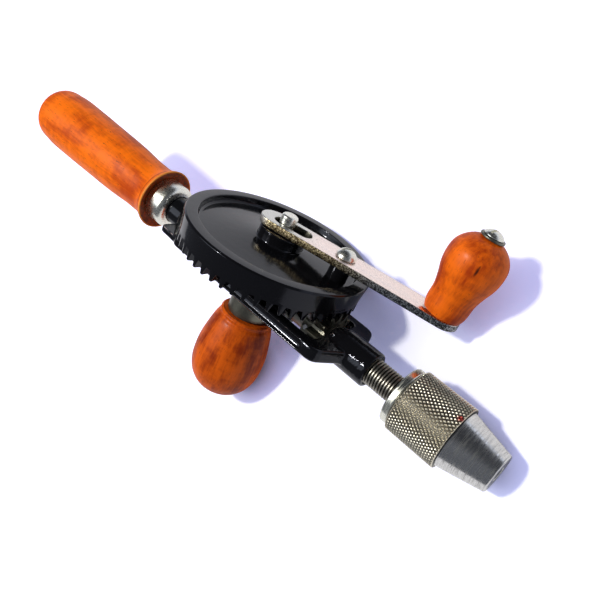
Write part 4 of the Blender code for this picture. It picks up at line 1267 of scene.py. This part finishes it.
def screw_mesh(foot, head, shank_radius, shank_end, slot_turn, steps):
    """A screw whose head stands on foot. The head is (radius, height, rim height), and has a slot."""
    outline = [(radius, foot + height) for radius, height in dome(*head)]
    outline += [(head[0], foot), (shank_radius, foot), (shank_radius, shank_end), (0, shank_end)]
    mesh = turned(outline, steps, ring=False)
    top = foot + head[1]
    far = 2 * head[0]
    half = screw_slot_width / 2
    tool = block((-far, -half, top - screw_slot_depth), (far, half, top + screw_slot_depth))
    tool.transform(Matrix.Rotation(slot_turn, 4, "Z"))
    return cut_away(mesh, tool)


def clamp_screw_mesh():
    head = (clamp_head_radius, clamp_head_height, clamp_head_rim_height)
    shank_end = hub_height - clamp_shank_depth
    mesh = screw_mesh(crank_top + seat_gap, head, clamp_shank_radius, shank_end, clamp_slot_turn, steps=64)
    mesh.transform(Matrix.Translation((clamp_reach, 0, 0)))
    return mesh


def axle_mesh():
    head_foot = hub_height + seat_gap
    foot = -seat_gap / 2
    return turned(rounded([
        (0, axle_head_height), (axle_head_radius, axle_head_height, axle_head_edge),
        (axle_head_radius, head_foot), (axle_radius, head_foot), (axle_radius, foot), (0, foot),
    ], closed=False), steps=64, ring=False)


dress("clamp_screw", clamp_screw_mesh(), crank, plated_steel, "crank", "crank_clamp_screw")
dress("axle_stud", axle_mesh(), drill, plated_steel, "frame", "wheel_axle")

# %% [markdown]
# ## The crank's knob
#
# The knob spins on a riveted pin. It is turned wood again, with a washer and a slotted screw on top.

# %% Turn the knob
knob_length = 0.0360
knob_radius = 0.0128
knob_bore = 0.0027
rivet_head_radius = 0.0036
rivet_head_height = 0.0012
rivet_head_edge = 0.0010
knob_washer_radius = 0.0053
knob_washer_thickness = 0.0009
knob_screw_radius = 0.0015
knob_screw_bore = 0.0016
knob_screw_depth = 0.0070
knob_screw_head_radius = 0.0043
knob_screw_head_height = 0.0024
knob_slot_turn = math.radians(60)
knob_shares = (
    (1.000, 0.340), (0.965, 0.560), (0.900, 0.785), (0.810, 0.945), (0.665, 1.000), (0.540, 0.960),
    (0.400, 0.838), (0.280, 0.755), (0.030, 0.688), (0.000, 0.655),
)
knob_foot = seat_gap + knob_radius * knob_shares[-1][1] * math.sin(knob_lean)
knob_top = knob_foot + knob_length


def knob_mesh():
    sides = through(scaled(knob_shares, knob_length, knob_radius, knob_foot))
    return turned([(knob_bore, knob_top)] + sides + [(knob_bore, knob_foot)])


def knob_pin_mesh():
    under_bar = -crank_thickness / math.cos(knob_lean) - rivet_head_radius * math.tan(knob_lean) - seat_gap
    hole_end = knob_top - knob_screw_depth - seat_gap
    rivet_end = under_bar - rivet_head_height
    return turned(rounded([
        (knob_screw_bore, knob_top), (knob_spindle_radius, knob_top), (knob_spindle_radius, under_bar),
        (rivet_head_radius, under_bar), (rivet_head_radius, rivet_end, rivet_head_edge),
        (0, rivet_end), (0, hole_end), (knob_screw_bore, hole_end),
    ]), steps=48)


def knob_washer_mesh():
    foot = knob_top + seat_gap
    top = foot + knob_washer_thickness
    return turned(rounded([
        (knob_screw_bore, top), (knob_washer_radius, top, head_edge), (knob_washer_radius, foot, head_edge),
        (knob_screw_bore, foot),
    ]), steps=64)


def knob_screw_mesh():
    foot = knob_top + 2 * seat_gap + knob_washer_thickness
    head = (knob_screw_head_radius, knob_screw_head_height, head_edge)
    shank_end = knob_top - knob_screw_depth
    return screw_mesh(foot, head, knob_screw_radius, shank_end, knob_slot_turn, steps=48)


dress("crank_knob_wood", knob_mesh(), knob, knob_wood, "knob", "crank_knob")
dress("knob_pin", knob_pin_mesh(), knob, plated_steel, "crank", "knob_spindle")
# The washer under the screw's head gets the darker steel as painted shade.
dress("knob_washer_ring", knob_washer_mesh(), knob, greasy_shaded_steel, "crank", "knob_washer")
dress("knob_top_screw", knob_screw_mesh(), knob, plated_steel, "crank", "knob_screw")

# %% [markdown]
# ## The side handle
#
# A short turned handle stands out on the side away from the wheel, with its own steel cup.

# %% Turn the side handle
side_handle_top = 0.0180
side_handle_length = 0.0438
side_handle_radius = 0.0169
side_neck_radius = 0.0078
side_neck_height = 0.0100
side_boss_foot = -0.00345
side_ferrule_radius = 0.0100
side_ferrule_top_radius = 0.0086
side_ferrule_wall = 0.0009
side_ferrule_edge = 0.0010
stud_bore = 0.0031
side_handle_shares = (
    (0.000, 0.704), (0.022, 0.745), (0.048, 0.722), (0.090, 0.780), (0.251, 0.899), (0.571, 1.000),
    (0.731, 0.959), (0.845, 0.846), (0.945, 0.620), (0.985, 0.400), (1.000, 0.000),
)


def side_handle_mesh():
    neck_top = -side_handle_top + side_neck_height
    sides = scaled(side_handle_shares, side_handle_length, side_handle_radius, -side_handle_top, -1)
    top = [(stud_bore, neck_top), (side_neck_radius, neck_top), (side_neck_radius, -side_handle_top)]
    bore_end = -side_handle_top - side_handle_length / 2
    return turned(top + through(sides) + [(0, bore_end), (stud_bore, bore_end)])


def side_ferrule_mesh():
    top = side_boss_foot - seat_gap
    foot = -side_handle_top + seat_gap
    inner = side_ferrule_radius - side_ferrule_wall
    return turned(rounded([
        (stud_bore, top), (side_ferrule_top_radius, top, side_ferrule_edge),
        (side_ferrule_radius, top - 2 * side_ferrule_edge, side_ferrule_edge),
        (side_ferrule_radius, foot, head_edge), (inner, foot),
        (inner, top - 2 * side_ferrule_edge - side_ferrule_wall),
        (side_ferrule_top_radius - side_ferrule_wall, top - side_ferrule_wall),
        (stud_bore, top - side_ferrule_wall),
    ]))


dress("side_handle_wood", side_handle_mesh(), drill, side_wood, "frame", "side_handle")
# The cup under the frame gets the darker steel as painted shade.
dress("side_ferrule_cup", side_ferrule_mesh(), drill, greasy_shaded_steel, "frame", "side_ferrule")

# %% [markdown]
# ## The spindle and its thread
#
# A screw thread follows one rule: the radius depends on how far a point is along the axis and round it.
# Geometry Nodes move the points of a finely turned bar by that rule, so the thread is real geometry.

# %% Turn the spindle
journal_radius = 0.0053
thread_radius = 0.0060
thread_start = 0.0659
spindle_start = 0.0164
spindle_end = 0.0930
spindle_chamfer = 0.0008
thread_pitch = 0.00135
thread_depth = 0.00070
thread_columns = 96
thread_rows_per_turn = 12
thread_crest_share = 0.25
thread_root_share = 0.85
skin_share = 0.999


def spindle_blank():
    length = spindle_end - thread_start - 2 * spindle_chamfer
    rows = round(length / thread_pitch * thread_rows_per_turn)
    thread = []
    for row in range(rows + 1):
        thread.append((thread_radius, thread_start + spindle_chamfer + length * row / rows))
    journal = [(0, spindle_start), (journal_radius, spindle_start), (journal_radius, thread_start)]
    nose = [(thread_radius - spindle_chamfer, spindle_end), (0, spindle_end)]
    return turned(journal + thread + nose, thread_columns, ring=False)


thread_inputs = {"Pitch": thread_pitch, "Depth": thread_depth, "Radius": thread_radius}


def draw_in(tree, given, radius, groove, rest_mark, material):
    """Draws the points on a round skin in by the groove's share of a depth, and ends the tree.

    The share is stored on them under the name groove, and all other points get rest_mark there."""
    near = calculate(tree, "MULTIPLY", given["Radius"], skin_share)
    outside = calculate(tree, "GREATER_THAN", radius, near)
    depth = calculate(tree, "MULTIPLY", groove, given["Depth"])
    squeeze = calculate(tree, "SUBTRACT", 1.0, calculate(tree, "DIVIDE", depth, radius))
    place = add_node(tree, "GeometryNodeInputPosition").outputs[0]
    scale = add_node(tree, "ShaderNodeCombineXYZ", {"X": squeeze, "Y": squeeze, "Z": 1.0}).outputs[0]
    moved = add_node(tree, "ShaderNodeVectorMath", {0: place, 1: scale}, operation="MULTIPLY").outputs[0]
    rest = calculate(tree, "MULTIPLY", calculate(tree, "SUBTRACT", 1.0, outside), rest_mark)
    mark = calculate(tree, "MULTIPLY_ADD", groove, outside, rest)
    geometry = marked(tree, given["Geometry"], "groove", mark)
    inputs = {"Geometry": geometry, "Selection": outside, "Position": moved}
    end_tree(tree, add_node(tree, "GeometryNodeSetPosition", inputs).outputs[0], material)


def thread_tree():
    """Cuts the thread's groove, which shifts by a pitch in each turn."""
    tree, given = new_tree("screw_thread", thread_inputs)
    parts, angle, radius = polar(tree)
    along = calculate(tree, "DIVIDE", parts["Z"], given["Pitch"])
    phase = calculate(tree, "FRACT", calculate(tree, "SUBTRACT", along, angle))
    off_middle = calculate(tree, "ABSOLUTE", calculate(tree, "SUBTRACT", phase, 0.5))
    off_crest = calculate(tree, "MULTIPLY", off_middle, 2.0)
    groove = between(tree, off_crest, thread_crest_share, thread_root_share)
    draw_in(tree, given, radius, groove, 0.0, thread_steel)
    return tree


spindle_mesh = grown(spindle_blank(), thread_tree(), thread_inputs)
dress("spindle_shaft", spindle_mesh, spindle, thread_steel, "spindle", "spindle")

# %% [markdown]
# ## The chuck
#
# The body carries three slanted jaws. A smooth collar is pressed on behind the knurled sleeve, which is
# turned by hand to close the jaws. The nose and the collar are plain turned steel.

# %% Turn the chuck's body and collar
collar_start = 0.0811
collar_length = 0.0038
collar_radius = 0.0128
collar_bore = 0.0095
collar_edge = 0.0009
sleeve_radius = 0.01407
sleeve_bore = 0.0125
sleeve_end = 0.1084
sleeve_chamfer = 0.0004
nose_start_radius = 0.0126
nose_end_radius = 0.00834
nose_end = 0.1280
nose_edge = 0.0007
mouth_radius = 0.0036
mouth_edge = 0.0004
mouth_depth = 0.0090
throat_radius = 0.0032
throat_end = 0.0970
socket_end = 0.0935
land_end = 0.0940
waist_radius = 0.0112
jaw_angle = math.radians(15)
jaw_radius = 0.0020
jaw_length = 0.0269
jaw_reach_closed = 0.0030
jaw_offset_closed = 0.0004
jaw_travel = 0.01035
jaw_face_gap = 0.00015
jaw_count = 3
nut_groove_length = 0.0038
nut_bite = 0.0012
collar_end = collar_start + collar_length
sleeve_start = collar_end + seat_gap


def jaw_outer_radius(x):
    """How far the jaws' outer sides are from the spindle's axis, at a place along it."""
    axis_radius = jaw_offset_closed + (nose_end + jaw_reach_closed - x) * math.tan(jaw_angle)
    return axis_radius + jaw_radius / math.cos(jaw_angle)


def jaw_slide(number, travel):
    """The axes of a jaw: Z along its slide towards the nose, X inwards, in the drill's axes."""
    tip = Matrix.Translation((nose_end + jaw_reach_closed, 0, jaw_offset_closed))
    tilt = Matrix.Rotation(right_angle + jaw_angle, 4, "Y")
    back = Matrix.Translation((0, 0, -travel))
    return Matrix.Rotation(math.tau * number / jaw_count, 4, "X") @ tip @ tilt @ back


def chuck_body_mesh():
    nose_start = sleeve_end + seat_gap
    groove_end = sleeve_end
    groove_start = groove_end - nut_groove_length
    land_radius = sleeve_bore - seat_gap
    socket = thread_radius + press_gap
    core = collar_bore - press_gap
    outline = rounded([
        (mouth_radius, nose_end, mouth_edge), (nose_end_radius, nose_end, nose_edge),
        (nose_start_radius, nose_start), (jaw_outer_radius(groove_end) - nut_bite, nose_start),
        (jaw_outer_radius(groove_start) - nut_bite, groove_start), (waist_radius, groove_start),
        (waist_radius, land_end), (land_radius, land_end), (land_radius, sleeve_start), (core, sleeve_start),
        (core, collar_start + seat_gap), (socket, collar_start + seat_gap), (socket, socket_end),
        (0, socket_end), (0, throat_end), (throat_radius, throat_end),
        (throat_radius, nose_end - mouth_depth), (mouth_radius, nose_end - mouth_depth),
    ])
    mesh = turned(outline, steps=144)
    bore_radius = jaw_radius + running_gap
    bore_length = jaw_length + jaw_travel + seat_gap
    lay_on_spindle = Matrix.Rotation(-right_angle, 4, "Y")
    cutters = []
    for number in range(jaw_count):
        bore = turned([
            (0, jaw_radius), (bore_radius, jaw_radius), (bore_radius, -bore_length), (0, -bore_length),
        ], steps=48, ring=False)
        bore.transform(lay_on_spindle @ jaw_slide(number, 0.0))
        cutters.append(bore)
    return cut_away(mesh, *cutters)


def collar_mesh():
    return turned(rounded([
        (collar_bore, collar_end), (collar_radius, collar_end, collar_edge),
        (collar_radius, collar_start, collar_edge), (collar_bore, collar_start),
    ]))


dress("chuck_nose_body", chuck_body_mesh(), spindle, turned_steel, "spindle", "chuck_body")
dress("chuck_ring", collar_mesh(), spindle, collar_steel, "spindle", "chuck_collar")

# %% [markdown]
# ## The knurled sleeve
#
# Two sets of crossing spiral grooves leave rows of small pyramids for the fingers. It is the same kind
# of rule as the thread, run both ways round. It runs out to a narrow bevel at both ends.

# %% Knurl the sleeve
knurl_rows = 10
knurl_around = 54
knurl_depth = 0.00055
knurl_margin = 0.0002
knurl_cells = 8
knurl_fade = 0.0001
knurl_groove_edges = (0.20, 1.0)
# The sleeve's bevels and bore take this share of the grooves' dirt and painted shade.
chamfer_dirt_and_shade_share = 0.8
knurl_start = sleeve_start + knurl_margin
knurl_end = sleeve_end - knurl_margin
knurl_length = sleeve_end - sleeve_start - 2 * knurl_margin


def sleeve_blank():
    rows = knurl_rows * knurl_cells
    rim = sleeve_radius - sleeve_chamfer
    inside = [(sleeve_bore, sleeve_end), (sleeve_bore, sleeve_start), (rim, sleeve_start)]
    outside = [(sleeve_radius, knurl_start + knurl_length * row / rows) for row in range(rows + 1)]
    return turned(inside + outside + [(rim, sleeve_end)], knurl_around * knurl_cells)


knurl_inputs = {
    "Around": knurl_around, "Row length": knurl_length / knurl_rows, "Depth": knurl_depth,
    "Radius": sleeve_radius, "Start": knurl_start, "End": knurl_end, "Fade": knurl_fade,
}


def knurl_tree():
    """Cuts two crossing sets of grooves, which fade out at both ends."""
    tree, given = new_tree("knurling", knurl_inputs)
    parts, angle, radius = polar(tree)
    from_start = calculate(tree, "SUBTRACT", parts["Z"], given["Start"])
    from_end = calculate(tree, "SUBTRACT", given["End"], parts["Z"])
    along = calculate(tree, "DIVIDE", from_start, given["Row length"])
    around = calculate(tree, "MULTIPLY", angle, given["Around"])
    grooves = []
    for operation in ("ADD", "SUBTRACT"):
        phase = calculate(tree, "FRACT", calculate(tree, operation, along, around))
        ridge = calculate(tree, "ABSOLUTE", calculate(tree, "SUBTRACT", phase, 0.5))
        grooves.append(calculate(tree, "MULTIPLY", ridge, 2.0))
    groove = between(tree, calculate(tree, "MAXIMUM", *grooves), *knurl_groove_edges)
    from_ends = calculate(tree, "MINIMUM", from_end, from_start)
    groove = calculate(tree, "MULTIPLY", groove, between(tree, from_ends, 0.0, given["Fade"]))
    draw_in(tree, given, radius, groove, chamfer_dirt_and_shade_share, knurl_steel)
    return tree


sleeve = grown(sleeve_blank(), knurl_tree(), knurl_inputs)
dress("knurled_sleeve", sleeve, spindle, knurl_steel, "sleeve", "chuck_sleeve")

# %% [markdown]
# ## The jaws
#
# Three round pins slide in slanted bores. Each tip is cut to a third of a turn, so that the three close
# on the axis. At rest they are drawn back into the nose.

# %% Make the jaws


def jaw_mesh():
    """A jaw in its own slide's axes."""
    along = Vector((-math.sin(jaw_angle), 0, math.cos(jaw_angle)))
    outward = Vector((-math.cos(jaw_angle), 0, -math.sin(jaw_angle)))
    across = along.cross(outward)
    work = bmesh.new()
    bmesh.ops.create_cone(
        work, cap_ends=True, segments=48, radius1=jaw_radius, radius2=jaw_radius,
        depth=jaw_length + jaw_radius, matrix=Matrix.Translation((0, 0, (jaw_radius - jaw_length) / 2)))
    meeting = outward * (jaw_face_gap - jaw_offset_closed)
    sector = math.pi / jaw_count
    trims = [(Vector((0, 0, 0)), along)]
    for side in (-1, 1):
        facing = outward * math.sin(sector) + across * side * math.cos(sector)
        trims.append((meeting, -facing))
    for place, normal in trims:
        geometry = list(work.verts) + list(work.edges) + list(work.faces)
        bmesh.ops.bisect_plane(work, geom=geometry, plane_co=place, plane_no=normal, clear_outer=True)
        rim = [edge for edge in work.edges if edge.is_boundary]
        bmesh.ops.holes_fill(work, edges=rim)
    return finished_mesh(work)


for number in range(jaw_count):
    name = f"jaw_{number + 1}"
    slide = drill @ jaw_slide(number, jaw_travel)
    dress(f"{name}_pin", jaw_mesh(), slide, turned_steel, name, name)

# %% Turn a box into lists


def corners(box):
    return [[float(value) for value in corner] for corner in box]
